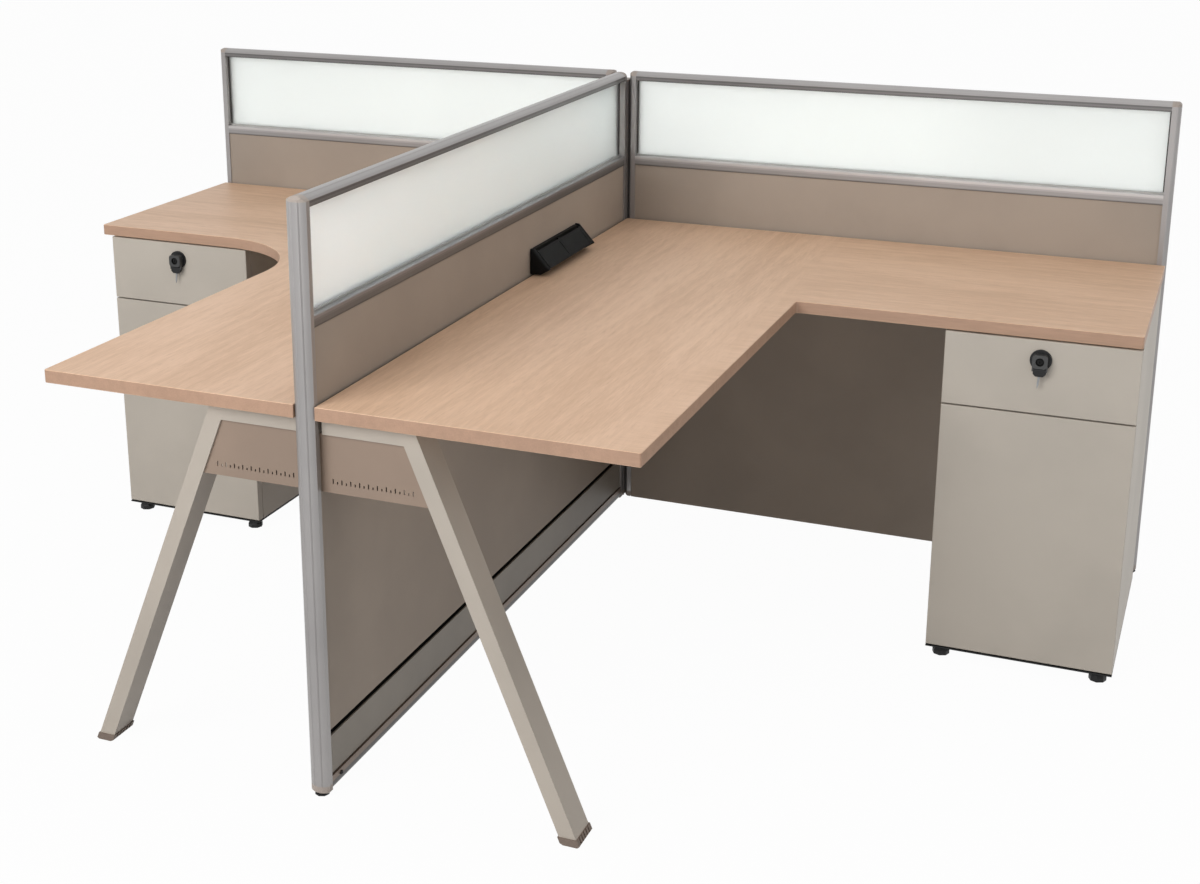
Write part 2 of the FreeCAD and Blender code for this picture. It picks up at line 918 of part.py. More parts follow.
def runner_pair(section, height):
    """The same runner member on both sides of a drawer."""
    start = front_thickness + runner_setback
    outline = [(pedestal_wall + across, height + rise) for across, rise in section]
    member = prism_along_y(outline, start, start + runner_length)
    other = member.mirror(Vector(pedestal_width / 2, 0, 0), Vector(1, 0, 0))
    return [member, other]


def fixed_members(height):
    return runner_pair(runner_channel(0, fixed_lip, fixed_half_height), height)


def middle_members(height):
    half_height = fixed_half_height - runner_sheet - seat_gap
    return runner_pair(runner_channel(middle_offset, middle_lip, half_height), height)


def drawer_members(height):
    half_height = fixed_half_height - 2 * (runner_sheet + seat_gap)
    return runner_pair(runner_channel(runner_width, drawer_member_lip, half_height), height)


def pedestal_base():
    """Plate under the case that runs on under the drawer fronts."""
    front = front_thickness + front_back_gap
    plate = box((0, 0, pedestal_base_bottom), (pedestal_width, pedestal_depth, pedestal_base_top))
    riser = box((0, front, pedestal_base_top), (pedestal_width, pedestal_depth, pedestal_bottom))
    return plate.fuse(riser).removeSplitter()


def pedestal_glides():
    """Flared plastic glides under the four corners of the base."""
    glide = levelling_foot(glide_pad_radius, glide_pad_height, glide_neck_radius, pedestal_base_bottom)
    glides = []
    for x in (glide_inset, pedestal_width - glide_inset):
        for y in (glide_inset, pedestal_depth - glide_inset):
            glides.append(glide.translated(Vector(x, y, 0)))
    return glides


# Lock on the top drawer


def lock_rosette():
    disc = rod_along_y(rosette_radius, pedestal_width / 2, lock_height, -rosette_thickness, 0)
    return disc.cut(lock_hole(-rosette_thickness - cut_overrun, cut_overrun))


def lock_knob():
    """Round-cornered head with a round key recess and two ears for the folding key."""
    centre = pedestal_width / 2
    half = knob_width / 2
    low = lock_height - knob_height / 2
    head = box((centre - half, knob_front, low), (centre + half, knob_back, low + knob_height))
    head = head.makeFillet(knob_corner_round, edges_along(head, Vector(0, 1, 0)))
    head = head.cut(
        rod_along_y(recess_radius, centre, lock_height, knob_front - cut_overrun, knob_front + recess_depth)
    )
    keyway = box(
        (centre - keyway_width / 2, knob_front, lock_height - keyway_height / 2),
        (centre + keyway_width / 2, knob_front + recess_depth + keyway_depth,
         lock_height + keyway_height / 2),
    )
    head = head.cut(keyway)
    axis_height = lock_height - key_axis_drop
    for outward in (-1, 1):
        sides = sorted((centre + outward * half, centre + outward * (half - ear_width)))
        ear = box(
            (sides[0], key_axis_y - key_thickness / 2, low - ear_drop),
            (sides[1], key_axis_y + key_thickness / 2, low + knob_corner_round),
        )
        bore = rod_along_x(
            key_pin_radius + running_gap, key_axis_y, axis_height,
            sides[0] - cut_overrun, sides[1] + cut_overrun,
        )
        head = head.fuse(ear).cut(bore)
    return head.removeSplitter()


def lock_cylinder():
    """Knob, barrel through the drawer front and cam behind it, turning as one."""
    centre = pedestal_width / 2
    cam_start = front_thickness + cam_gap
    barrel = rod_along_y(barrel_radius, centre, lock_height, knob_back, front_thickness + barrel_tail)
    cam = box(
        (centre, cam_start, lock_height - cam_width / 2),
        (centre + cam_reach, cam_start + cam_thickness, lock_height + cam_width / 2),
    )
    return lock_knob().fuse([barrel, cam]).removeSplitter()


def lock_key():
    """Folding key bow, hanging flat below the knob, with its two hinge pins."""
    centre = pedestal_width / 2
    half = knob_width / 2 - ear_width - seat_gap
    axis_height = lock_height - key_axis_drop
    back = key_axis_y - key_thickness / 2
    bow = box(
        (centre - half, back, axis_height - key_length),
        (centre + half, back + key_thickness, axis_height),
    )
    lower = []
    for edge in edges_along(bow, Vector(0, 1, 0)):
        if edge.BoundBox.ZMax < axis_height - pick_tolerance:
            lower.append(edge)
    bow = bow.makeChamfer(key_bevel, lower)
    knuckle = rod_along_x(key_thickness / 2, key_axis_y, axis_height, centre - half, centre + half)
    pin_half = half + key_pin_length
    pins = rod_along_x(key_pin_radius, key_axis_y, axis_height, centre - pin_half, centre + pin_half)
    return bow.fuse([knuckle, pins]).removeSplitter()


# Power module on the divider, drawn outward from the divider


def hood_point(out, height):
    return (half_board + out, module_bottom + height)


def hood_strip(depth0, depth1, lower_trim):
    """Band of the hood section that runs parallel to its slope, between two depths below it."""
    band = []
    for depth, along in (
        (depth0, 0), (depth0, hood_slope - lower_trim), (depth1, hood_slope - lower_trim), (depth1, 0),
    ):
        out = module_frame_thickness + hood_top_out + hood_run * along - hood_fall * depth
        height = hood_top_height - hood_fall * along - hood_run * depth
        band.append(hood_point(out, height))
    return band


def hood_outline():
    return [
        hood_point(module_frame_thickness, hood_floor_height),
        hood_point(module_frame_thickness + hood_lip_out, hood_lip_height),
        hood_point(module_frame_thickness + hood_top_out, hood_top_height),
        hood_point(module_frame_thickness, hood_top_height),
    ]


def bay_starts():
    first = module_start + module_wall
    return (first, first + bay_length + module_wall)


def lid_axis_points():
    return (half_board + lid_axis_out, lid_axis_height)


def power_housing():
    """Wedge-shaped hood with two open bays on a round-cornered back frame."""
    end = module_start + module_length
    frame = box(
        (half_board, module_start - module_frame_margin, module_bottom),
        (half_board + module_frame_thickness, end + module_frame_margin,
         module_bottom + module_frame_height),
    )
    frame = frame.makeFillet(module_frame_round, edges_along(frame, Vector(1, 0, 0)))
    hood = prism_along_y(hood_outline(), module_start, end)
    axis = lid_axis_points()
    for start in bay_starts():
        bay = prism_along_y(
            [
                hood_point(module_frame_thickness, hood_floor_height + module_floor),
                hood_point(module_frame_thickness + hood_lip_out, hood_lip_height + module_floor),
                hood_point(module_frame_thickness + hood_lip_out, hood_top_height + cut_overrun),
                hood_point(module_frame_thickness, hood_top_height + cut_overrun),
            ],
            start, start + bay_length,
        )
        lid_room = prism_along_y(
            hood_strip(-cut_overrun, lid_thickness + lid_gap, -cut_overrun), start, start + bay_length
        )
        pins = rod_along_y(
            lid_pin_radius + running_gap, axis[0], axis[1],
            start - lid_pin_length - lid_gap, start + bay_length + lid_pin_length + lid_gap,
        )
        hood = hood.cut(bay).cut(lid_room).cut(pins)
    return frame.fuse(hood).removeSplitter()


def across_hood(along, depth, at, length, width, height):
    """Block square to the hood's slope: its middle along the slope and its floor below it."""
    out = module_frame_thickness + hood_top_out + hood_run * along - hood_fall * depth
    rise = hood_top_height - hood_fall * along - hood_run * depth
    x, z = hood_point(out, rise)
    block = box((-width / 2, -length / 2, 0), (width / 2, length / 2, height))
    return oriented(block, Vector(x, at, z), Vector(0, 1, 0), Vector(hood_fall, 0, hood_run))


def power_sockets():
    """Socket plates set across the two bays, each with two generic slotted outlets."""
    plates = []
    room = prism_along_y(
        [
            hood_point(module_frame_thickness, hood_floor_height + module_floor),
            hood_point(module_frame_thickness + hood_lip_out, hood_lip_height + module_floor),
            hood_point(module_frame_thickness + hood_top_out, hood_top_height),
            hood_point(module_frame_thickness, hood_top_height),
        ],
        module_start, module_start + module_length,
    )
    band = hood_strip(socket_depth, socket_depth + socket_thickness, -cut_overrun)
    middle = hood_slope / 2
    behind = socket_depth + socket_thickness + cut_overrun
    for start in bay_starts():
        plate = prism_along_y(band, start, start + bay_length).common(room).Solids[0]
        for share in socket_shares:
            at = start + bay_length * share
            plate = plate.cut(
                across_hood(
                    middle, socket_depth + socket_recess_depth, at,
                    socket_recess_length, socket_recess_width, socket_recess_depth + cut_overrun,
                )
            )
            for step in (-0.5, 0.5):
                plate = plate.cut(
                    across_hood(
                        middle, behind, at + socket_slot_spacing * step,
                        socket_slot_width, socket_slot_length, socket_thickness + 2 * cut_overrun,
                    )
                )
        plates.append(plate)
    return plates


def power_lid(start):
    """Flap over one bay, with a sunk field and two hinge pins at its top edge."""
    low = start + lid_gap
    high = start + bay_length - lid_gap
    lid = prism_along_y(hood_strip(0, lid_thickness, lid_gap), low, high)
    field = hood_strip(-cut_overrun, lid_field_depth, lid_field_inset)
    trimmed = hood_strip(-cut_overrun, lid_field_depth, hood_slope - lid_field_inset)
    field = [trimmed[1], field[1], field[2], trimmed[2]]
    lid = lid.cut(prism_along_y(field, low + lid_field_inset, high - lid_field_inset))
    axis = lid_axis_points()
    pins = rod_along_y(lid_pin_radius, axis[0], axis[1], low - lid_pin_length, high + lid_pin_length)
    return lid.fuse(pins).removeSplitter()


# Assembly: one named shape per sub-part


def screen_nodes(nodes):
    rails = [as_divider(screen_mid_rail(divider_length))]
    gaskets = [as_divider(screen_gasket(divider_length))]
    caps = [as_divider(cap) for cap in top_caps(divider_length) + end_caps(divider_length)]
    feet = [as_divider(divider_foot()), place(junction_foot(), 1)]
    nodes["divider_stiles"] = as_divider(screen_stiles(divider_length))
    nodes["divider_top_rail"] = as_divider(screen_top_rail(divider_length))
    nodes["divider_glass"] = as_divider(screen_glass(divider_length))
    nodes["divider_board"] = as_divider(screen_board(divider_length, raceway_top))
    nodes["divider_bottom_rail"] = as_divider(divider_bottom_rail())
    nodes["divider_raceway_tray"] = as_divider(divider_raceway_tray())
    nodes["divider_raceway_covers"] = as_divider(divider_raceway_covers())
    for name, sizes in places.items():
        side = sizes["side"]
        length = rear_length(sizes["reach"])
        nodes["rear_%s_stiles" % name] = as_rear(screen_stiles(length), side)
        nodes["rear_%s_top_rail" % name] = as_rear(screen_top_rail(length), side)
        nodes["rear_%s_glass" % name] = as_rear(screen_glass(length), side)
        nodes["rear_%s_board" % name] = as_rear(screen_board(length, foot_height), side)
        rails.append(as_rear(screen_mid_rail(length), side))
        gaskets.append(as_rear(screen_gasket(length), side))
        caps += [as_rear(cap, side) for cap in top_caps(length) + end_caps(length)]
        feet.append(as_rear(rear_foot(length), side))
    nodes["junction_post"] = place(junction_post(), 1)
    nodes["screen_mid_rails"] = Part.makeCompound(rails)
    nodes["glass_gaskets"] = Part.makeCompound(gaskets)
    caps += [place(cap, 1) for cap in junction_caps()]
    nodes["screen_corner_caps"] = Part.makeCompound(caps)
    return feet


def desk_nodes(nodes):
    brackets = []
    for name, sizes in places.items():
        side = sizes["side"]
        nodes["worktop_%s" % name] = place(worktop(sizes), side)
        brackets += place_brackets(sizes)
    nodes["worktop_brackets"] = Part.makeCompound(brackets)
    sides = [sizes["side"] for sizes in places.values()]
    nodes["leg_top_tubes"] = Part.makeCompound([place(leg_top_tube(), side) for side in sides])
    nodes["leg_tubes"] = Part.makeCompound([place(leg_tube(), side) for side in sides])
    nodes["leg_gussets"] = Part.makeCompound([place(leg_gusset(), side) for side in sides])
    nodes["leg_foot_caps"] = Part.makeCompound([place(leg_foot_cap(), side) for side in sides])


def power_nodes(nodes):
    sockets = []
    for name, sizes in places.items():
        side = sizes["side"]
        nodes["power_housing_%s" % name] = place(power_housing(), side)
        sockets += [place(plate, side) for plate in power_sockets()]
        for bay, start in zip(("front", "rear"), bay_starts()):
            nodes["power_lid_%s_%s" % (bay, name)] = place(power_lid(start), side)
    nodes["power_sockets"] = Part.makeCompound(sockets)


def pedestal_origin(sizes):
    """Front corner of a pedestal that is nearer the divider."""
    end = sizes["reach"] - worktop_end_inset - sizes["pedestal_inset"]
    front = place_length - sizes["return_depth"] + pedestal_setback
    return Vector(end - pedestal_width, front, 0)


def pedestal_nodes(nodes):
    fixed = []
    glides = []
    bases = []
    for name, sizes in places.items():
        origin = pedestal_origin(sizes)

        def seat(shape):
            return place(shape.translated(origin), sizes["side"])

        nodes["pedestal_case_%s" % name] = seat(pedestal_carcass())
        nodes["top_drawer_front_%s" % name] = seat(top_drawer_front())
        nodes["file_drawer_front_%s" % name] = seat(file_drawer_front())
        nodes["top_drawer_tray_%s" % name] = seat(drawer_tray(top_tray_bottom, top_tray_height))
        nodes["file_drawer_tray_%s" % name] = seat(drawer_tray(file_tray_bottom, file_tray_height))
        for drawer, height in (("top", top_runner_height), ("file", file_runner_height)):
            fixed += [seat(member) for member in fixed_members(height)]
            middle = [seat(member) for member in middle_members(height)]
            inner = [seat(member) for member in drawer_members(height)]
            nodes["%s_runner_middle_%s" % (drawer, name)] = Part.makeCompound(middle)
            nodes["%s_runner_inner_%s" % (drawer, name)] = Part.makeCompound(inner)
        nodes["lock_rosette_%s" % name] = seat(lock_rosette())
        nodes["lock_cylinder_%s" % name] = seat(lock_cylinder())
        nodes["lock_key_%s" % name] = seat(lock_key())
        bases.append(seat(pedestal_base()))
        glides += [seat(glide) for glide in pedestal_glides()]
    nodes["pedestal_bases"] = Part.makeCompound(bases)
    nodes["runner_fixed_members"] = Part.makeCompound(fixed)
    return glides


def build():
    nodes = {}
    feet = screen_nodes(nodes)
    desk_nodes(nodes)
    power_nodes(nodes)
    glides = pedestal_nodes(nodes)
    nodes["levelling_feet"] = Part.makeCompound(feet + glides)
    return nodes


os.makedirs("parts", exist_ok=True)
for node, shape in build().items():
    shape.exportStep("parts/%s.step" % node)
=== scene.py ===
"""Finishes, small fittings and a plain studio for a two-place office workstation."""

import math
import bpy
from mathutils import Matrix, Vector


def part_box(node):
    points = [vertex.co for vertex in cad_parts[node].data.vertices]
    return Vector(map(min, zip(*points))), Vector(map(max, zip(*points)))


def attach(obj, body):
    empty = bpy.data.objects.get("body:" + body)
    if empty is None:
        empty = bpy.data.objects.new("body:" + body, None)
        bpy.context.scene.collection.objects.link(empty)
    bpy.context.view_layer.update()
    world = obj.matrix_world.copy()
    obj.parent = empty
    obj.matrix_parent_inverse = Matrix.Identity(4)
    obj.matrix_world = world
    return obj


bl_info = {
    "name": "Office Workstation",
    "version": (1, 0, 0),
    "blender": (4, 5, 0),
    "location": "View3D > Sidebar > Workstation",
    "description": "Dresses a two-place office workstation and sets it in a plain studio",
    "category": "Object",
}

from typing import NamedTuple

import bmesh
import bpy
from bpy.props import FloatProperty, FloatVectorProperty, PointerProperty
from mathutils import Vector

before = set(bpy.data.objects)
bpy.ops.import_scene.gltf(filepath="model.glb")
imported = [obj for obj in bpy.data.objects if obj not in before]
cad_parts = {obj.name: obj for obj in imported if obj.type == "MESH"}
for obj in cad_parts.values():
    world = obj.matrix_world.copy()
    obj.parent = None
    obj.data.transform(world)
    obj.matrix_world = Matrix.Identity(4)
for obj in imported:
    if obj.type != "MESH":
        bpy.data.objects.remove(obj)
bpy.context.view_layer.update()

PLACES = ("right", "left")
BAYS = ("front", "rear")
DRAWERS = ("top", "file")
PANELS = ("divider", "rear_right", "rear_left")
ROOT = "workstation"
BLACK = (0.0, 0.0, 0.0, 1.0)
WHITE = (1.0, 1.0, 1.0, 1.0)
SKIN_RELIEF = 0.0003
FINE_RELIEF = 0.0002
WOOD_RELIEF = 0.0004
BAND_BLUR = 0.0008
STRIP_BLUR = 0.001
MERGE_GAP = 0.00001
SMOOTH_ANGLE = math.radians(35)
STRAIGHT = 0.9

# Turns that make a piece which faces up face another way
FACING = {
    "down": (math.pi, 0, 0),
    "front": (math.pi / 2, 0, 0),
    "right": (0, math.pi / 2, 0),
    "left": (0, -math.pi / 2, 0),
}


def colour(name, description, red, green, blue):
    """A colour that the user can change, given as it looks on a screen from 0 to 255."""
    return FloatVectorProperty(
        name=name,
        description=description,
        subtype="COLOR_GAMMA",
        size=3,
        min=0.0,
        max=1.0,
        default=(red / 255, green / 255, blue / 255),
    )


def length(name, description, default):
    return FloatProperty(name=name, description=description, unit="LENGTH", default=default)


def point(name, description, default):
    return FloatVectorProperty(
        name=name, description=description, subtype="XYZ", unit="LENGTH", default=default
    )


def power(name, description, default):
    return FloatProperty(name=name, description=description, unit="POWER", default=default)


def plain(name, description, default):
    return FloatProperty(name=name, description=description, default=default)


class WORKSTATION_PG_finishes(bpy.types.PropertyGroup):
    """Colours of the finishes."""

    wood: colour("Wood", "Light tone of the worktop laminate", 218, 183, 154)
    wood_dark: colour("Dark grain", "Darker streaks of the worktop laminate", 206, 170, 140)
    wood_fleck: colour("Flecks", "Short dark flecks in the worktop laminate", 168, 128, 100)
    wood_edge: colour("Edge band", "Edge band round the worktops", 174, 140, 117)
    board: colour("Screen board", "Taupe boards of the screens", 157, 145, 133)
    raceway: colour("Raceway cover", "Covers along the foot of the divider", 138, 131, 121)
    aluminium: colour("Aluminium", "Screen frame extrusions", 154, 151, 150)
    cap: colour("Corner caps", "Moulded caps on the screen corners", 160, 149, 141)
    glass: colour("Frosted glass", "Panes at the top of the rear screens", 247, 250, 248)
    # Painted light: a lighter, cooler copy of the frosted glass, so that the divider's pane shows brighter
    # and without the wood's warm light
    glass_divider_lit: colour("Divider glass", "Cooler pane at the top of the divider", 250, 255, 255)
    leg: colour("Leg paint", "Sloped legs and level tubes", 174, 165, 154)
    gusset: colour("Gusset paint", "Folded plates between leg and divider", 142, 123, 108)
    foot: colour("Foot caps", "Ribbed caps of the legs", 112, 98, 88)
    pedestal: colour("Pedestal paint", "Cases and drawer fronts", 180, 172, 161)
    rail: colour("Bottom rail", "Round lower side of the divider's bottom rail", 84, 82, 80)
    rail_strip: colour("Rail strip", "Upper strip of the divider's bottom rail", 124, 108, 96)
    black: colour("Black plastic", "Feet, glides and power modules", 16, 16, 16)
    lock: colour("Lock", "Lock rosette and key bow", 22, 22, 23)
    knob: colour("Lock knob", "Turning head of the lock", 58, 58, 58)
    steel: colour("Plated steel", "Drawer runners and brackets", 186, 188, 190)
    rubber: colour("Gasket", "Channel gasket round the panes", 58, 56, 54)
    gasket_sill: colour("Gasket sill", "Lower run of the gasket along the mid rail", 176, 174, 170)


class WORKSTATION_PG_fittings(bpy.types.PropertyGroup):
    """Sizes of the small fittings."""

    screw_radius: length("Screw head", "Radius of a pan-head screw", 0.0042)
    screw_height: length("Screw height", "Height of a pan-head screw", 0.0022)
    plug_radius: length("Lock plug", "Radius of the dark cup in the knob's recess", 0.0083)
    plug_depth: length("Plug depth", "Depth of the dark cup in the knob's recess", 0.0056)
    blade_length: length("Key blade", "Length of a key blade below its bow", 0.024)
    blade_width: length("Blade width", "Width of a key blade at its bow", 0.0046)
    pen_tray_depth: length("Pen tray", "Front to back of a pen tray", 0.092)
    pen_tray_height: length("Pen tray height", "Height of a pen tray over the drawer's floor", 0.026)
    file_rail_height: length("File rail", "Height of a hanging-file rail", 0.014)


class WORKSTATION_PG_studio(bpy.types.PropertyGroup):
    """Camera and lights of the studio."""

    camera_place: point("Camera", "Where the camera stands", (1.3818, -3.2400, 1.7178))
    camera_aim: point("Aim", "Point that the lens axis goes through", (0.0983, -0.0783, 0.7292))
    lens: plain("Lens", "Focal length in millimetres", 52.25)
    shift_right: plain("Shift right", "Sideways lens shift", 0.0361)
    shift_up: plain("Shift up", "Upward lens shift", -0.1023)
    top_power: power("Top light", "Power of the light overhead", 20.0)
    key_power: power("Key light", "Power of the main light at the front", 170.0)
    left_power: power("Left light", "Power of the light on the left", 8.0)
    right_power: power("Right light", "Power of the light on the right", 27.0)
    fill_power: power("Fill light", "Power of the low light in front", 17.0)
    ambient: plain("Ambient", "Strength of the light from all round", 0.25)
    ambient_back: plain("Ambient behind", "Strength of that light from behind", 0.6)


# Shared helpers for materials


def linear(shown):
    """Scene-linear RGBA of a colour as it looks on a screen."""
    parts = [c / 12.92 if c <= 0.04045 else ((c + 0.055) / 1.055) ** 2.4 for c in shown]
    return (*parts, 1.0)


def shade(shown, factor):
    """The same colour, lighter or darker."""
    return tuple(min(1.0, c * factor) for c in shown)


def feed(tree, target, values):
    """Give inputs their values: a socket is linked, anything else is set."""
    for key, value in values.items():
        if isinstance(value, bpy.types.NodeSocket):
            tree.links.new(value, target.inputs[key])
        else:
            target.inputs[key].default_value = value


def node(tree, kind, values=None, **settings):
    """Add a node with its settings and the values of its inputs."""
    made = tree.nodes.new(kind)
    for key, value in settings.items():
        setattr(made, key, value)
    feed(tree, made, values or {})
    return made


def object_coords(tree):
    return node(tree, "ShaderNodeTexCoord").outputs["Object"]


def axis(tree, vector, name):
    return node(tree, "ShaderNodeSeparateXYZ", {"Vector": vector}).outputs[name]


def stretched(tree, vector, scale, turn=0.0):
    """Coordinates scaled along each axis and then turned about Z."""
    mapping = node(tree, "ShaderNodeMapping", {"Vector": vector, "Scale": scale, "Rotation": (0, 0, turn)})
    return mapping.outputs["Vector"]


def noise(tree, vector, scale, detail=3.0, roughness=0.55):
    values = {"Vector": vector, "Scale": scale, "Detail": detail, "Roughness": roughness}
    return node(tree, "ShaderNodeTexNoise", values).outputs["Fac"]


def math_node(tree, operation, first, second=0.0):
    return node(tree, "ShaderNodeMath", {0: first, 1: second}, operation=operation).outputs[0]


def spread(tree, value, low, high, out_low=0.0, out_high=1.0):
    """Map a band of values to another band, clamped, with soft ends."""
    made = node(
        tree, "ShaderNodeMapRange",
        {"Value": value, "From Min": low, "From Max": high, "To Min": out_low, "To Max": out_high},
        interpolation_type="SMOOTHSTEP",
    )
    return made.outputs["Result"]


def from_noise(tree, value, out_low=0.0, out_high=1.0):
    """Spread the middle values of a noise, where nearly all of it lies, over a band."""
    return spread(tree, value, 0.3, 0.7, out_low, out_high)


def step_at(tree, value, edge, softness):
    """0 below an edge and 1 above it, with a short soft change."""
    return spread(tree, value, edge - softness, edge + softness)


def mix(tree, factor, first, second):
    made = node(tree, "ShaderNodeMix", {0: factor, 6: first, 7: second}, data_type="RGBA")
    return made.outputs[2]


def blend(tree, share, first, second):
    """A value between two others."""
    kept = math_node(tree, "MULTIPLY", first, math_node(tree, "SUBTRACT", 1.0, share))
    return math_node(tree, "ADD", kept, math_node(tree, "MULTIPLY", second, share))


def tones(tree, factor, shown, dark, light):
    """A colour that wanders between a darker and a lighter tone of itself."""
    return mix(tree, factor, linear(shade(shown, dark)), linear(shade(shown, light)))


def from_divider(tree, coords):
    """Level distance from the middle of the divider."""
    low, high = box_of("divider_board")
    away = math_node(tree, "SUBTRACT", axis(tree, coords, "X"), (low.x + high.x) / 2)
    return math_node(tree, "ABSOLUTE", away)


def bump(tree, height, strength, distance):
    made = node(tree, "ShaderNodeBump", {"Height": height, "Strength": strength, "Distance": distance})
    return made.outputs["Normal"]


def seen(tree):
    """1 for rays that show a surface in the picture: straight, mirrored or through glass."""
    rays = node(tree, "ShaderNodeLightPath").outputs
    direct = math_node(tree, "MAXIMUM", rays["Is Camera Ray"], rays["Is Glossy Ray"])
    return math_node(tree, "MAXIMUM", direct, rays["Is Transmission Ray"])


def group_tree(name, inputs, outputs):
    """A new shader node group with named sockets, and its two end nodes."""
    tree = bpy.data.node_groups.new(name, "ShaderNodeTree")
    for socket, kind in inputs.items():
        tree.interface.new_socket(socket, in_out="INPUT", socket_type=kind)
    for socket in outputs:
        tree.interface.new_socket(socket, in_out="OUTPUT", socket_type="NodeSocketFloat")
    return tree, tree.nodes.new("NodeGroupInput").outputs, tree.nodes.new("NodeGroupOutput")


def use_group(tree, name, build, values):
    """Place a shared node group, which is built when it is first asked for."""
    group = bpy.data.node_groups.get(name) or build(name)
    return node(tree, "ShaderNodeGroup", values, node_tree=group).outputs


def build_skin_group(name):
    """Sprayed or moulded skin: fine grain for the bump and slow clouds for the colour."""
    kinds = {"Vector": "NodeSocketVector", "Grain Scale": "NodeSocketFloat", "Cloud Scale": "NodeSocketFloat"}
    tree, start, end = group_tree(name, kinds, ("Grain", "Clouds"))
    grain = noise(tree, start["Vector"], start["Grain Scale"], 2.0, 0.5)
    clouds = noise(tree, start["Vector"], start["Cloud Scale"], 4.0, 0.5)
    feed(tree, end, {"Grain": grain, "Clouds": from_noise(tree, clouds)})
    return tree


def skin_grain(tree, coords, grain_scale):
    values = {"Vector": coords, "Grain Scale": grain_scale, "Cloud Scale": 3.5}
    return use_group(tree, "skin_grain", build_skin_group, values)


def build_wood_group(name):
    """Straight fine grain that runs along the X of its coordinates."""
    tree, start, end = group_tree(name, {"Vector": "NodeSocketVector"}, ("Tone", "Pores"))
    vector = start["Vector"]
    broad = noise(tree, stretched(tree, vector, (1.2, 7.0, 7.0)), 1.0, 3.0, 0.5)
    streaks = noise(tree, stretched(tree, vector, (5.0, 60.0, 60.0)), 1.0, 4.0, 0.55)
    fibres = noise(tree, stretched(tree, vector, (24.0, 360.0, 360.0)), 1.0, 3.0, 0.6)
    flecks = noise(tree, stretched(tree, vector, (34.0, 420.0, 420.0)), 1.0, 1.0, 0.4)
    tone = math_node(tree, "MULTIPLY", broad, 0.34)
    tone = math_node(tree, "ADD", tone, math_node(tree, "MULTIPLY", streaks, 0.33))
    tone = math_node(tree, "ADD", tone, math_node(tree, "MULTIPLY", fibres, 0.33))
    feed(tree, end, {"Tone": spread(tree, tone, 0.36, 0.64), "Pores": spread(tree, flecks, 0.64, 0.78)})
    return tree


def wood_grain(tree, coords):
    return use_group(tree, "wood_grain", build_wood_group, {"Vector": coords})


def build_metal_group(name):
    """Drawn metal: very fine grain for the bump and slow clouds for the colour."""
    tree, start, end = group_tree(name, {"Vector": "NodeSocketVector"}, ("Grain", "Clouds"))
    grain = noise(tree, start["Vector"], 600.0, 2.0, 0.5)
    clouds = noise(tree, start["Vector"], 4.0, 3.0, 0.5)
    feed(tree, end, {"Grain": grain, "Clouds": from_noise(tree, clouds)})
    return tree


def metal_grain(tree, coords):
    return use_group(tree, "metal_grain", build_metal_group, {"Vector": coords})


def new_material(name):
    """An empty material with its shader and output joined."""
    material = bpy.data.materials.new(name)
    material.use_nodes = True
    tree = material.node_tree
    tree.nodes.clear()
    shader = tree.nodes.new("ShaderNodeBsdfPrincipled")
    node(tree, "ShaderNodeOutputMaterial", {"Surface": shader.outputs["BSDF"]})
    return material, tree, shader


# Finishes


class Skin(NamedTuple):
    """Look of a painted, moulded or plated surface; its colour is one of the finishes."""

    colour: str
    roughness: float
    grain_scale: float
    grain_bump: float
    contrast: float = 0.05
    metallic: float = 0.0
    gloss: float = 0.5
    tone: float = 1.0


SKINS = {
    "taupe_board": Skin("board", 0.62, 1100.0, 0.10, contrast=0.03),
    "cap_plastic": Skin("cap", 0.5, 1200.0, 0.12),
    "raceway_paint": Skin("raceway", 0.5, 1100.0, 0.1),
    "raceway_black": Skin("black", 0.8, 800.0, 0.1, gloss=0.1),
    "bracket_steel": Skin("steel", 0.42, 700.0, 0.06, contrast=0.06, metallic=0.8),
    "leg_paint": Skin("leg", 0.5, 1500.0, 0.16, contrast=0.03),
    "gusset_paint": Skin("gusset", 0.5, 1500.0, 0.12, contrast=0.03),
    "foot_plastic": Skin("foot", 0.6, 900.0, 0.2),
    "foot_black": Skin("black", 0.5, 900.0, 0.15, gloss=0.3),
    "strip_black": Skin("black", 0.7, 900.0, 0.15, gloss=0.1),
    "pedestal_paint": Skin("pedestal", 0.5, 1500.0, 0.14, contrast=0.025),
    "runner_steel": Skin("steel", 0.36, 700.0, 0.05, contrast=0.06, metallic=0.9),
    "base_black": Skin("black", 0.55, 900.0, 0.15, gloss=0.3),
    "lock_black": Skin("lock", 0.4, 900.0, 0.08, gloss=0.3),
    "lock_knob": Skin("knob", 0.34, 900.0, 0.08, contrast=0.08, metallic=0.3),
    "power_black": Skin("black", 0.55, 1000.0, 0.15, gloss=0.12),
    "plug_black": Skin("black", 0.5, 900.0, 0.08, gloss=0.15),
    "key_steel": Skin("steel", 0.42, 700.0, 0.05, contrast=0.06, metallic=0.5, tone=0.76),
    "screw_steel": Skin("steel", 0.38, 700.0, 0.05, contrast=0.06, metallic=0.85),
    "screw_black": Skin("black", 0.45, 700.0, 0.05, contrast=0.06, metallic=0.4),
    "tray_black": Skin("black", 0.5, 1200.0, 0.2, gloss=0.3),
    "file_rail_steel": Skin("steel", 0.36, 700.0, 0.05, contrast=0.06, metallic=0.9),
}


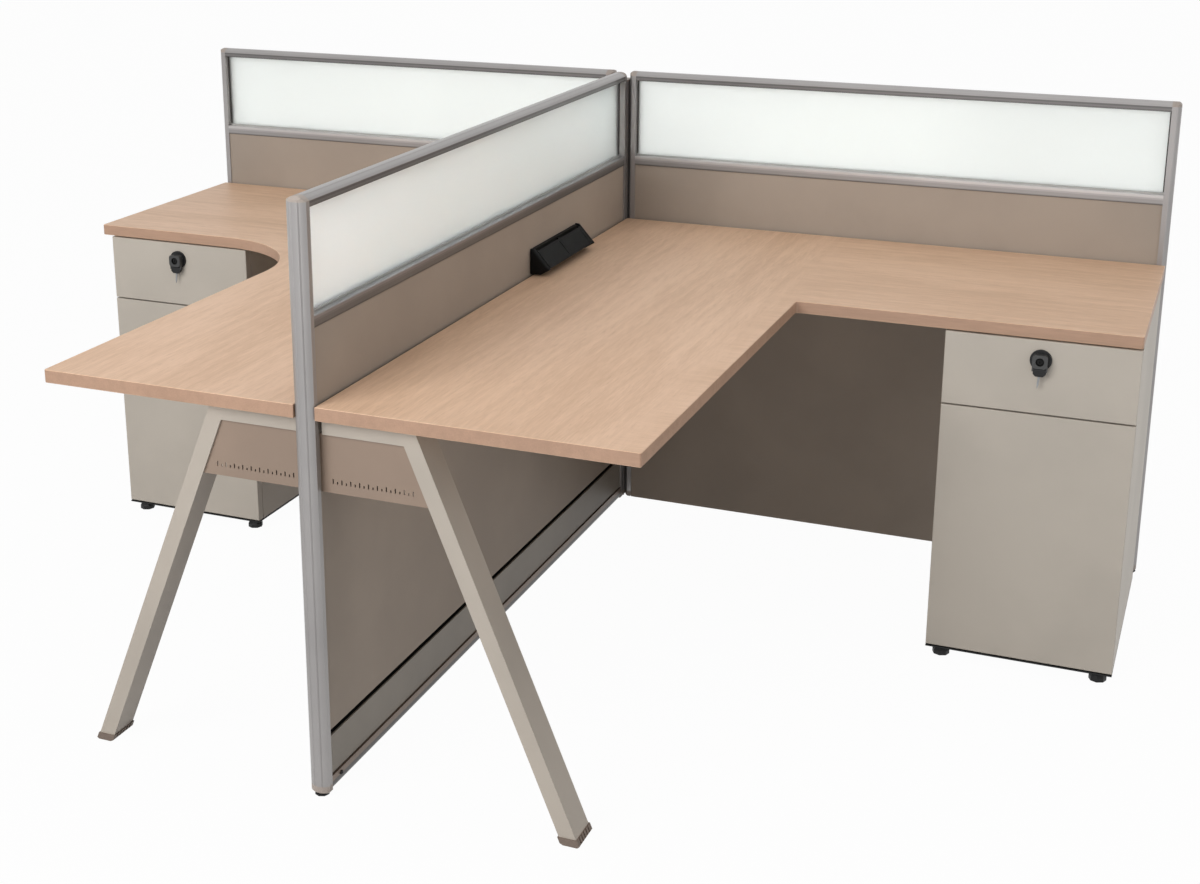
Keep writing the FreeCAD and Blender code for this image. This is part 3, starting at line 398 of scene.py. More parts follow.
def skin_material(name, finish):
    """Paint, plastic or plated steel: slow colour clouds and a fine raised grain."""
    look = SKINS[name]
    shown = shade(getattr(finish, look.colour), look.tone)
    material, tree, shader = new_material(name)
    skin = skin_grain(tree, object_coords(tree), look.grain_scale)
    feed(tree, shader, {
        "Base Color": tones(tree, skin["Clouds"], shown, 1 - look.contrast, 1 + look.contrast),
        "Roughness": from_noise(tree, skin["Grain"], look.roughness - 0.05, look.roughness + 0.07),
        "Metallic": look.metallic,
        "Specular IOR Level": look.gloss,
        "Normal": bump(tree, skin["Grain"], look.grain_bump, SKIN_RELIEF),
    })
    return material


def wood_laminate(finish):
    """Worktop laminate: grain along each wing of the worktop, and an edge band with its own tone."""
    material, tree, shader = new_material("wood_laminate")
    coords = object_coords(tree)
    main = wood_grain(tree, stretched(tree, coords, (1, 1, 1), math.pi / 2))
    wing = wood_grain(tree, coords)
    wing_start, wing_full, wander_reach = 0.56, 0.68, 0.10
    wander = math_node(tree, "MULTIPLY", noise(tree, coords, 9.0), wander_reach)
    away = math_node(tree, "ADD", from_divider(tree, coords), wander)
    on_wing = spread(tree, away, wing_start, wing_full)
    tone, pores = [blend(tree, on_wing, main[name], wing[name]) for name in ("Tone", "Pores")]
    top = mix(tree, tone, linear(finish.wood_dark), linear(shade(finish.wood, 1.04)))
    top = mix(tree, math_node(tree, "MULTIPLY", pores, 0.36), top, linear(finish.wood_fleck))
    band = tones(tree, tone, finish.wood_edge, 0.95, 1.03)
    facing = node(tree, "ShaderNodeNewGeometry").outputs["Normal"]
    level = math_node(tree, "ABSOLUTE", axis(tree, facing, "Z"))
    feed(tree, shader, {
        "Base Color": mix(tree, spread(tree, level, 0.3, 0.6), band, top),
        "Roughness": spread(tree, tone, 0.0, 1.0, 0.52, 0.44),
        "Normal": bump(tree, math_node(tree, "SUBTRACT", tone, pores), 0.12, WOOD_RELIEF),
    })
    return material


def finish_metal(tree, shader, metal, base, metallic, roughness):
    """Give a shader the fine grain of drawn metal over its base colour."""
    feed(tree, shader, {
        "Base Color": base,
        "Metallic": metallic,
        "Roughness": from_noise(tree, metal["Grain"], roughness, roughness + 0.10),
        "Normal": bump(tree, metal["Grain"], 0.05, FINE_RELIEF),
    })


def satin_aluminium(finish):
    material, tree, shader = new_material("satin_aluminium")
    metal = metal_grain(tree, object_coords(tree))
    base = tones(tree, metal["Clouds"], finish.aluminium, 0.96, 1.03)
    finish_metal(tree, shader, metal, base, 0.55, 0.32)
    return material


def aluminium_painted_light(name, finish, rail, light_and_shade_bands, divider_shade=0.0):
    """A rail painted in level stripes of highlight and shade, each from a share of the rail's height, with
    painted shade along the divider.
    """
    material, tree, shader = new_material(name)
    coords = object_coords(tree)
    metal = metal_grain(tree, coords)
    low, high = box_of(rail)
    height = axis(tree, coords, "Z")
    # Painted shade at the foot of the rail, then stripes of painted shade lower down and painted highlight
    # higher up
    base = linear(shade(finish.aluminium, light_and_shade_bands[0][1]))
    for share, tone in light_and_shade_bands[1:]:
        above = step_at(tree, height, low.z + (high.z - low.z) * share, BAND_BLUR)
        base = mix(tree, above, base, linear(shade(finish.aluminium, tone)))
    divider_low, divider_high = box_of("divider_top_rail")
    # Painted shade where the rail runs along the divider, added to the random clouds that darken it towards
    # black
    near, gone = 0.001, 0.004
    reach = (divider_high.x - divider_low.x) / 2
    on_divider = spread(tree, from_divider(tree, coords), reach + near, reach + gone, divider_shade, 0.0)
    clouds = math_node(tree, "MULTIPLY", metal["Clouds"], 0.08)
    base = mix(tree, math_node(tree, "ADD", clouds, on_divider), base, BLACK)
    finish_metal(tree, shader, metal, base, 0.5, 0.32)
    return material


def rail_paint(finish):
    """Bottom rail: a brown strip over a dark, half-round lower side."""
    material, tree, shader = new_material("rail_paint")
    coords = object_coords(tree)
    metal = metal_grain(tree, coords)
    low, high = box_of("divider_bottom_rail")
    strip_share = 0.62
    strip = step_at(tree, axis(tree, coords, "Z"), low.z + (high.z - low.z) * strip_share, STRIP_BLUR)
    under = tones(tree, metal["Clouds"], finish.rail, 0.94, 1.05)
    over = tones(tree, metal["Clouds"], finish.rail_strip, 0.96, 1.04)
    finish_metal(tree, shader, metal, mix(tree, strip, under, over), 0.3, 0.38)
    return material


def frosted_glass(name, shown):
    material, tree, shader = new_material(name)
    coords = object_coords(tree)
    frost = noise(tree, coords, 1400.0, 2.0)
    clouds = from_noise(tree, noise(tree, coords, 1.6, 2.0))
    feed(tree, shader, {
        "Base Color": tones(tree, clouds, shown, 0.985, 1.01),
        "Roughness": from_noise(tree, frost, 0.75, 0.9),
        "Transmission Weight": 0.85,
        "IOR": 1.45,
        "Normal": bump(tree, frost, 0.04, FINE_RELIEF),
    })
    return material


def gasket_rubber(finish):
    """Channel gasket: dark, with a pale lower run along the mid rail."""
    material, tree, shader = new_material("gasket_rubber")
    coords = object_coords(tree)
    skin = skin_grain(tree, coords, 500.0)
    sill = 0.0055
    upper = step_at(tree, axis(tree, coords, "Z"), box_of("screen_mid_rails")[1].z + sill, STRIP_BLUR)
    dark = tones(tree, skin["Clouds"], finish.rubber, 0.95, 1.05)
    feed(tree, shader, {
        "Base Color": mix(tree, upper, linear(finish.gasket_sill), dark),
        "Roughness": from_noise(tree, skin["Grain"], 0.55, 0.67),
        "Normal": bump(tree, skin["Grain"], 0.1, SKIN_RELIEF),
    })
    return material


def dress(material, *names):
    """Give CAD nodes a finish."""
    for name in names:
        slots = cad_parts[name].data.materials
        slots.clear()
        slots.append(material)


# Shared helpers for modelled pieces


def box_of(name):
    """Lowest and highest corners of a CAD node at rest."""
    low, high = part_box(name)
    return Vector(low), Vector(high)


def loose_boxes(name):
    """Lowest and highest corners of each separate solid of a CAD node."""
    mesh = bmesh.new()
    mesh.from_mesh(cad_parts[name].data)
    bmesh.ops.remove_doubles(mesh, verts=mesh.verts, dist=MERGE_GAP)
    boxes = []
    waiting = set(mesh.verts)
    while waiting:
        island = []
        stack = [waiting.pop()]
        while stack:
            vertex = stack.pop()
            island.append(vertex.co.copy())
            for edge in vertex.link_edges:
                other = edge.other_vert(vertex)
                if other in waiting:
                    waiting.remove(other)
                    stack.append(other)
        axes = list(zip(*island))
        boxes.append((Vector([min(values) for values in axes]), Vector([max(values) for values in axes])))
    mesh.free()
    return sorted(boxes, key=lambda box: tuple(box[0]))


def deselect_all():
    if bpy.context.object and bpy.context.object.mode != "OBJECT":
        bpy.ops.object.mode_set(mode="OBJECT")
    bpy.ops.object.select_all(action="DESELECT")


def apply_place():
    """Put the active piece's place, turn and size into its mesh."""
    bpy.ops.object.transform_apply(location=True, rotation=True, scale=True)


def start_piece(name, add, sides, middle, **settings):
    """A primitive of a given size and place, in edit mode with nothing picked."""
    deselect_all()
    add(location=middle, **settings)
    piece = bpy.context.object
    piece.name = name
    piece.data.name = name
    piece.scale = sides
    apply_place()
    bpy.ops.object.mode_set(mode="EDIT")
    bpy.ops.mesh.select_mode(type="FACE")
    bpy.ops.mesh.select_all(action="DESELECT")
    return piece


def start_box(name, sides, middle):
    return start_piece(name, bpy.ops.mesh.primitive_cube_add, sides, middle, size=1.0)


def start_disc(name, radius, height, corners):
    """An upright round disc that stands on the origin."""
    return start_piece(
        name, bpy.ops.mesh.primitive_cylinder_add, (radius, radius, height), (0, 0, height / 2),
        vertices=corners, radius=1.0, depth=1.0,
    )


def pick_faces(piece, wanted):
    """Select only the faces whose middle and normal pass a test."""
    bpy.ops.mesh.select_all(action="DESELECT")
    mesh = bmesh.from_edit_mesh(piece.data)
    for face in mesh.faces:
        face.select_set(wanted(face.calc_center_median(), face.normal))
    bmesh.update_edit_mesh(piece.data)


def pick_top(piece):
    pick_faces(piece, lambda at, normal: normal.z > STRAIGHT)


def pull(offset):
    """Extrude the picked faces together."""
    bpy.ops.mesh.extrude_region_move(TRANSFORM_OT_translate={"value": offset})


def pull_up(height):
    pull((0, 0, height))


def inset(rim, depth=0.0, **settings):
    bpy.ops.mesh.inset(thickness=rim, depth=depth, **settings)


def bevel_all(offset, segments=2):
    bpy.ops.mesh.select_all(action="SELECT")
    bpy.ops.mesh.bevel(offset=offset, segments=segments, affect="EDGES", clamp_overlap=True)


def shape_done(piece, material):
    """Leave edit mode and give the finished mesh its shading and finish."""
    bpy.ops.object.mode_set(mode="OBJECT")
    bpy.ops.object.shade_smooth_by_angle(angle=SMOOTH_ANGLE)
    piece.data.materials.clear()
    piece.data.materials.append(material)


def apply_modifier(kind, **settings):
    """Add a modifier to the active piece and apply it."""
    bpy.ops.object.modifier_add(type=kind)
    modifier = bpy.context.object.modifiers[-1]
    for key, value in settings.items():
        setattr(modifier, key, value)
    bpy.ops.object.modifier_apply(modifier=modifier.name)


def copy_piece(source, name, offset, turn):
    """The same piece again with its own mesh, turned about the origin and then moved."""
    deselect_all()
    source.select_set(True)
    bpy.context.view_layer.objects.active = source
    bpy.ops.object.duplicate(linked=False)
    twin = bpy.context.object
    twin.name = name
    twin.data.name = name
    twin.rotation_euler = turn
    twin.location = offset
    apply_place()
    return twin


def remove_piece(piece):
    deselect_all()
    piece.select_set(True)
    bpy.ops.object.delete()


def fit(piece, body):
    """Let a finished piece move with a body."""
    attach(piece, body)


class WorkstationOperator:
    """What every operator of the workstation shares."""

    bl_options = {"REGISTER", "UNDO"}


class WORKSTATION_OT_screens(WorkstationOperator, bpy.types.Operator):
    """Finish the divider and rear screens"""

    bl_idname = "workstation.screens"
    bl_label = "Screens"

    # Share of the rail's height at which a band starts, and its tone: darker tones are painted shade lower on
    # the rail, lighter ones painted highlight higher up
    top_rail_light_and_shade = ((0.0, 0.66), (0.14, 0.74), (0.30, 0.62), (0.50, 1.0), (0.72, 1.06))
    mid_rail_light_and_shade = ((0.0, 0.78), (0.16, 0.96), (0.52, 1.05), (0.70, 1.22))
    # Painted shade on the mid rail where it runs along the divider
    divider_shade = 0.45

    def execute(self, context):
        finish = context.scene.workstation_finishes
        metal = satin_aluminium(finish)
        top = aluminium_painted_light("top_rail_aluminium", finish, "divider_top_rail", self.top_rail_light_and_shade)
        middle = aluminium_painted_light(
            "mid_rail_aluminium", finish, "screen_mid_rails", self.mid_rail_light_and_shade, self.divider_shade
        )
        board = skin_material("taupe_board", finish)
        for panel in PANELS:
            dress(metal, "%s_stiles" % panel)
            dress(top, "%s_top_rail" % panel)
            dress(board, "%s_board" % panel)
        dress(metal, "junction_post")
        dress(middle, "screen_mid_rails")
        dress(rail_paint(finish), "divider_bottom_rail")
        dress(frosted_glass("frosted_glass", finish.glass), "rear_right_glass", "rear_left_glass")
        # The divider's pane takes the lighter, cooler copy of the glass, which is painted light
        dress(frosted_glass("frosted_divider_glass", finish.glass_divider_lit), "divider_glass")
        dress(gasket_rubber(finish), "glass_gaskets")
        dress(skin_material("cap_plastic", finish), "screen_corner_caps")
        dress(skin_material("raceway_paint", finish), "divider_raceway_covers")
        dress(skin_material("raceway_black", finish), "divider_raceway_tray")
        return {"FINISHED"}


class WORKSTATION_OT_worktops(WorkstationOperator, bpy.types.Operator):
    """Finish the worktops and their brackets"""

    bl_idname = "workstation.worktops"
    bl_label = "Worktops"

    def execute(self, context):
        finish = context.scene.workstation_finishes
        dress(wood_laminate(finish), *["worktop_%s" % place for place in PLACES])
        dress(skin_material("bracket_steel", finish), "worktop_brackets")
        return {"FINISHED"}


class WORKSTATION_OT_legs(WorkstationOperator, bpy.types.Operator):
    """Finish the sloped legs, their gussets and foot caps, and the screens' feet"""

    bl_idname = "workstation.legs"
    bl_label = "Legs"

    def execute(self, context):
        finish = context.scene.workstation_finishes
        dress(skin_material("leg_paint", finish), "leg_tubes", "leg_top_tubes")
        dress(skin_material("gusset_paint", finish), "leg_gussets")
        dress(skin_material("foot_plastic", finish), "leg_foot_caps")
        dress(skin_material("foot_black", finish), "levelling_feet")
        return {"FINISHED"}


class WORKSTATION_OT_slot_strips(WorkstationOperator, bpy.types.Operator):
    """Model the black strips behind the slots of the gussets"""

    bl_idname = "workstation.slot_strips"
    bl_label = "Slot strips"

    gusset_sheet = 0.002
    board_gap = 0.016
    leg_gap = 0.052
    middle_height = 0.0215
    height = 0.016
    thickness = 0.0022
    rim = 0.002
    recess = 0.0008
    edge = 0.0004

    def execute(self, context):
        black = skin_material("strip_black", context.scene.workstation_finishes)
        board_low, board_high = box_of("divider_board")
        low, high = box_of("leg_gussets")
        spans = {
            "right": (board_high.x + self.board_gap, high.x - self.leg_gap),
            "left": (low.x + self.leg_gap, board_low.x - self.board_gap),
        }
        for place in PLACES:
            fit(self.strip(place, spans[place], low, black), ROOT)
        return {"FINISHED"}

    def strip(self, place, span, gusset_low, black):
        """Flat strip with a raised rim, clipped to the back of the plate."""
        start, end = span
        y = gusset_low.y + self.gusset_sheet + self.thickness / 2
        z = gusset_low.z + self.middle_height
        piece = start_box(
            "slot_strip_%s" % place, (end - start, self.thickness, self.height), ((start + end) / 2, y, z)
        )
        pick_faces(piece, lambda at, normal: normal.y > STRAIGHT)
        inset(self.rim, -self.recess)
        bevel_all(self.edge)
        shape_done(piece, black)
        return piece


class WORKSTATION_OT_pedestals(WorkstationOperator, bpy.types.Operator):
    """Finish the pedestals, drawers and runners"""

    bl_idname = "workstation.pedestals"
    bl_label = "Pedestals"

    def execute(self, context):
        finish = context.scene.workstation_finishes
        paint = skin_material("pedestal_paint", finish)
        steel = skin_material("runner_steel", finish)
        for place in PLACES:
            dress(paint, "pedestal_case_%s" % place)
            for drawer in DRAWERS:
                dress(paint, "%s_drawer_front_%s" % (drawer, place), "%s_drawer_tray_%s" % (drawer, place))
                dress(steel, "%s_runner_middle_%s" % (drawer, place), "%s_runner_inner_%s" % (drawer, place))
        dress(steel, "runner_fixed_members")
        dress(skin_material("base_black", finish), "pedestal_bases")
        return {"FINISHED"}


class WORKSTATION_OT_locks(WorkstationOperator, bpy.types.Operator):
    """Finish the drawer locks and their folding keys"""

    bl_idname = "workstation.locks"
    bl_label = "Locks"

    def execute(self, context):
        finish = context.scene.workstation_finishes
        black = skin_material("lock_black", finish)
        knob = skin_material("lock_knob", finish)
        for place in PLACES:
            dress(black, "lock_rosette_%s" % place, "lock_key_%s" % place)
            dress(knob, "lock_cylinder_%s" % place)
        return {"FINISHED"}


class WORKSTATION_OT_power(WorkstationOperator, bpy.types.Operator):
    """Finish the power modules on the divider and model their domed cheeks"""

    bl_idname = "workstation.power"
    bl_label = "Power modules"

    plate = 0.004
    lap = 0.003
    proud = 0.0008
    edge = 0.0004
    under_gap = 0.001
    under_slope = 0.62
    dome_rise = 0.0062
    dome_narrowing_share = 0.26
    dome_degrees = (22, 42, 60, 76)
    crown_out_share = 0.3
    crown_up_share = 0.45

    def execute(self, context):
        hood = skin_material("power_black", context.scene.workstation_finishes)
        for place in PLACES:
            dress(hood, "power_housing_%s" % place)
            for bay in BAYS:
                dress(hood, "power_lid_%s_%s" % (bay, place))
                fit(self.cheek(bay, place, hood), ROOT)
        dress(hood, "power_sockets")
        return {"FINISHED"}

    def cheek(self, end, place, hood):
        """Domed end cheek that closes the hood and stands a little proud of it."""
        low, high = box_of("power_housing_%s" % place)
        lid_low, lid_high = box_of("power_lid_front_%s" % place)
        outward = 1 if place == "right" else -1
        along = -1 if end == "front" else 1
        board = low.x if outward > 0 else high.x
        lip = lid_high.x if outward > 0 else lid_low.x
        y = (low.y if along < 0 else high.y) + along * (self.plate / 2 - self.lap)
        wide = high.x - low.x + self.proud
        tall = high.z - low.z + self.proud
        piece = start_box(
            "power_cheek_%s_%s" % (end, place),
            (wide, self.plate, tall), (board + outward * wide / 2, y, low.z + tall / 2),
        )
        over_lid = Vector((outward * (lid_high.z - lid_low.z), 0, lid_high.x - lid_low.x)).normalized()
        under_lid = Vector((outward * self.under_slope, 0, -1)).normalized()
        self.trim(Vector((lip, y, lid_low.z)) + over_lid * self.proud, over_lid)
        self.trim(Vector((lip, y, lid_low.z - self.under_gap)), under_lid)
        pick_faces(piece, lambda at, normal: normal.y * along > STRAIGHT)
        crown_x = board + outward * wide * self.crown_out_share
        self.dome(along, (crown_x, y, low.z + tall * self.crown_up_share))
        bevel_all(self.edge, 1)
        shape_done(piece, hood)
        return piece

    def trim(self, point, outward):
        """Cut off what lies outside a plane and close the cut."""
        bpy.ops.mesh.select_all(action="SELECT")
        bpy.ops.mesh.bisect(plane_co=point, plane_no=outward, use_fill=True, clear_outer=True)

    def dome(self, along, crown):
        """Draw the picked end face out in steps that narrow like a quarter circle."""
        out, share = 0.0, 1.0
        for degrees in self.dome_degrees:
            angle = math.radians(degrees)
            next_out = self.dome_rise * math.sin(angle)
            next_share = 1 - self.dome_narrowing_share * (1 - math.cos(angle))
            pull((0, along * (next_out - out), 0))
            step = next_share / share
            bpy.ops.transform.resize(value=(step, 1, step), center_override=crown)
            out, share = next_out, next_share


class WORKSTATION_OT_key_parts(WorkstationOperator, bpy.types.Operator):
    """Model the plug in each lock's recess and the flat blade under each key bow"""

    bl_idname = "workstation.key_parts"
    bl_label = "Key parts"

    plug_corners = 32
    cup_wall_share = 0.1
    cup_depth_share = 0.7
    ring_share = 0.22
    core_rise_share = 0.35
    slot_rim_share = 0.3
    slot_squeeze = (0.3, 1.2, 1)
    slot_depth_share = 0.3
    plug_edge_share = 0.02
    blade_root = 0.004
    blade_sunk = 0.001
    blade_thickness = 0.0018
    shank_share = 0.7
    shank_squeeze = (0.8, 1, 1)
    tip_squeeze = (0.3, 0.7, 1)
    groove_rim_share = 0.24
    groove_depth = 0.0004
    groove_reach_share = 0.1
    blade_edge = 0.0002
    blade_lean_degrees = -6

    def execute(self, context):
        finish = context.scene.workstation_finishes
        fittings = context.scene.workstation_fittings
        black = skin_material("plug_black", finish)
        steel = skin_material("key_steel", finish)
        for place in PLACES:
            fit(self.plug("lock_plug_%s" % place, place, fittings, black), "lock_%s" % place)
            fit(self.blade("key_blade_%s" % place, place, fittings, steel), "key_%s" % place)
        return {"FINISHED"}

    def plug(self, name, place, fittings, black):
        """Dark cup that lines the recess of the knob, with a round key plug and its slot."""
        low, high = box_of("lock_rosette_%s" % place)
        middle = (low + high) / 2
        front = box_of("lock_cylinder_%s" % place)[0].y
        radius = fittings.plug_radius
        depth = fittings.plug_depth
        piece = start_disc(name, radius, depth, self.plug_corners)
        pick_top(piece)
        inset(radius * self.cup_wall_share)
        pull_up(-depth * self.cup_depth_share)
        inset(radius * self.ring_share)
        pull_up(depth * self.core_rise_share)
        inset(radius * self.slot_rim_share)
        bpy.ops.transform.resize(value=self.slot_squeeze)
        pull_up(-depth * self.slot_depth_share)
        bevel_all(radius * self.plug_edge_share, 1)
        shape_done(piece, black)
        piece.rotation_euler = FACING["front"]
        piece.location = (middle.x, front + depth, middle.z)
        apply_place()
        return piece

    def blade(self, name, place, fittings, steel):
        """Tapered blade with a milled groove on each side, hanging at a slight angle."""
        low, high = box_of("lock_key_%s" % place)
        middle = (low + high) / 2
        long = fittings.blade_length
        piece = start_box(
            name, (fittings.blade_width, self.blade_thickness, self.blade_root),
            (middle.x, middle.y, low.z + self.blade_root / 2 - self.blade_sunk),
        )
        pick_faces(piece, lambda at, normal: normal.z < -STRAIGHT)
        pull_up(-long * self.shank_share)
        bpy.ops.transform.resize(value=self.shank_squeeze)
        pull_up(-long * (1 - self.shank_share))
        bpy.ops.transform.resize(value=self.tip_squeeze)
        shank_z = low.z - long * self.shank_share / 2
        reach = long * self.groove_reach_share
        pick_faces(piece, lambda at, normal: abs(normal.y) > STRAIGHT and abs(at.z - shank_z) < reach)
        inset(fittings.blade_width * self.groove_rim_share, -self.groove_depth, use_individual=True)
        bevel_all(self.blade_edge)
        bpy.ops.mesh.select_all(action="SELECT")
        bpy.ops.transform.rotate(
            value=math.radians(self.blade_lean_degrees), orient_axis="Y",
            center_override=(middle.x, middle.y, low.z),
        )
        shape_done(piece, steel)
        return piece


class WORKSTATION_OT_screws(WorkstationOperator, bpy.types.Operator):
    """Model the pan-head screws of the brackets, gussets and bottom rail"""

    bl_idname = "workstation.screws"
    bl_label = "Screws"

    corners = 16
    slope_share = 0.25
    crown_share = 0.35
    recess_rim_share = 0.38
    recess_depth_share = 0.7
    edge_share = 0.05
    bracket_sheet = 0.003
    gusset_sheet = 0.002
    gusset_back_gap = 0.006
    gusset_height_shares = (0.28, 0.76)
    rail_front_gap = 0.032
    rail_top_gap = 0.009

    def execute(self, context):
        finish = context.scene.workstation_finishes
        steel = skin_material("screw_steel", finish)
        black = skin_material("screw_black", finish)
        screw = self.screw(context.scene.workstation_fittings, steel)
        places = self.bracket_places() + self.gusset_places()
        for count, (at, turn) in enumerate(places, 1):
            fit(copy_piece(screw, "screw_%02d" % count, at, turn), ROOT)
        for side, (at, turn) in self.rail_places().items():
            twin = copy_piece(screw, "rail_screw_%s" % side, at, turn)
            twin.data.materials[0] = black
            fit(twin, ROOT)
        remove_piece(screw)
        return {"FINISHED"}

    def screw(self, fittings, steel):
        """Pan head with a recess, standing on the origin and facing up."""
        radius = fittings.screw_radius
        height = fittings.screw_height
        piece = start_disc("screw", radius, height, self.corners)
        pick_top(piece)
        inset(radius * self.slope_share, height * self.crown_share)
        inset(radius * self.recess_rim_share)
        pull_up(-height * self.recess_depth_share)
        bevel_all(radius * self.edge_share, 1)
        shape_done(piece, steel)
        return piece

    def bracket_places(self):
        """One screw in each leg of every angle bracket, found from the bracket's own corners."""
        board_low, board_high = box_of("divider_board")
        divider_x = (board_low.x + board_high.x) / 2
        sheet = self.bracket_sheet
        places = []
        for low, high in loose_boxes("worktop_brackets"):
            middle = (low + high) / 2
            places.append(((middle.x, middle.y, high.z - sheet), FACING["down"]))
            on_divider = high.x - low.x < high.y - low.y
            if not on_divider:
                places.append(((middle.x, high.y - sheet, middle.z), FACING["front"]))
            elif middle.x > divider_x:
                places.append(((low.x + sheet, middle.y, middle.z), FACING["right"]))
            else:
                places.append(((high.x - sheet, middle.y, middle.z), FACING["left"]))
        return places

    def gusset_places(self):
        """Two screws through the side fold of each gusset into the divider."""
        low, high = box_of("leg_gussets")
        board_low, board_high = box_of("divider_board")
        y = high.y - self.gusset_back_gap
        places = []
        for share in self.gusset_height_shares:
            z = low.z + (high.z - low.z) * share
            places.append(((board_high.x + self.gusset_sheet, y, z), FACING["right"]))
            places.append(((board_low.x - self.gusset_sheet, y, z), FACING["left"]))
        return places

    def rail_places(self):
        """A dark screw near the front of the bottom rail, on each side."""
        low, high = box_of("divider_bottom_rail")
        y = low.y + self.rail_front_gap
        z = high.z - self.rail_top_gap
        return {"right": ((high.x, y, z), FACING["right"]), "left": ((low.x, y, z), FACING["left"])}


class WORKSTATION_OT_drawer_fittings(WorkstationOperator, bpy.types.Operator):
    """Model the pen trays and hanging-file rails inside the drawers"""

    bl_idname = "workstation.drawer_fittings"
    bl_label = "Drawer fittings"

    drawer_sheet = 0.001
    tray_wells = 4
    tray_wall = 0.0016
    tray_side_gap = 0.004
    tray_front_gap = 0.006
    tray_rim = 0.005
    tray_lip = 0.003
    tray_taper = (0.995, 0.97, 1)
    tray_edge = 0.0008
    rail_thickness = 0.0025
    rail_side_gap = 0.010
    rail_end_gap = 0.003
    rail_top_gap = 0.004
    rail_roll = 0.0004
    rail_roll_height = 0.0012
    rail_edge = 0.0003

    def execute(self, context):
        finish = context.scene.workstation_finishes
        fittings = context.scene.workstation_fittings
        black = skin_material("tray_black", finish)
        steel = skin_material("file_rail_steel", finish)
        for place in PLACES:
            fit(self.pen_tray(place, fittings, black), "top_drawer_%s" % place)
            for rail in self.file_rails(place, fittings, steel):
                fit(rail, "file_drawer_%s" % place)
        return {"FINISHED"}

    def pen_tray(self, place, fittings, black):
        """Moulded tray with four wells, resting on the drawer's floor behind its front."""
        low, high = box_of("top_drawer_tray_%s" % place)
        width = high.x - low.x - 2 * self.tray_side_gap
        depth = fittings.pen_tray_depth
        height = fittings.pen_tray_height
        y = low.y + self.tray_front_gap + depth / 2
        rim_z = low.z + self.drawer_sheet + height
        piece = start_piece(
            "pen_tray_%s" % place, bpy.ops.mesh.primitive_grid_add,
            (width, depth, 1.0), ((low.x + high.x) / 2, y, rim_z),
            x_subdivisions=self.tray_wells, y_subdivisions=1, size=1.0,
        )
        bpy.ops.mesh.select_all(action="SELECT")
        inset(self.tray_rim, use_individual=True)
        pull_up(-self.tray_lip)
        bpy.ops.transform.resize(value=self.tray_taper)
        pull_up(-(height - self.tray_lip - self.tray_wall))
        bpy.ops.object.mode_set(mode="OBJECT")
        apply_modifier("SOLIDIFY", thickness=self.tray_wall, offset=-1.0)
        apply_modifier("BEVEL", width=self.tray_edge, segments=2, limit_method="ANGLE")
        shape_done(piece, black)
        return piece

    def file_rails(self, place, fittings, steel):
        """Two upright steel rails with rolled tops along the sides of the file drawer."""
        low, high = box_of("file_drawer_tray_%s" % place)
        height = fittings.file_rail_height
        sides = (self.rail_thickness, high.y - low.y - 2 * self.rail_end_gap, height)
        y = (low.y + high.y) / 2
        z = high.z - height / 2 - self.rail_top_gap
        rails = []
        for end, x in (("outer", low.x + self.rail_side_gap), ("inner", high.x - self.rail_side_gap)):
            piece = start_box("file_rail_%s_%s" % (end, place), sides, (x, y, z))
            pick_top(piece)
            inset(self.rail_roll, self.rail_roll_height)
            bevel_all(self.rail_edge)
            shape_done(piece, steel)
            rails.append(piece)
        return rails


class Lamp(NamedTuple):
    """Square light: where it hangs, the point that it faces and the length of its side."""

    place: tuple
    aim: tuple
    side: float


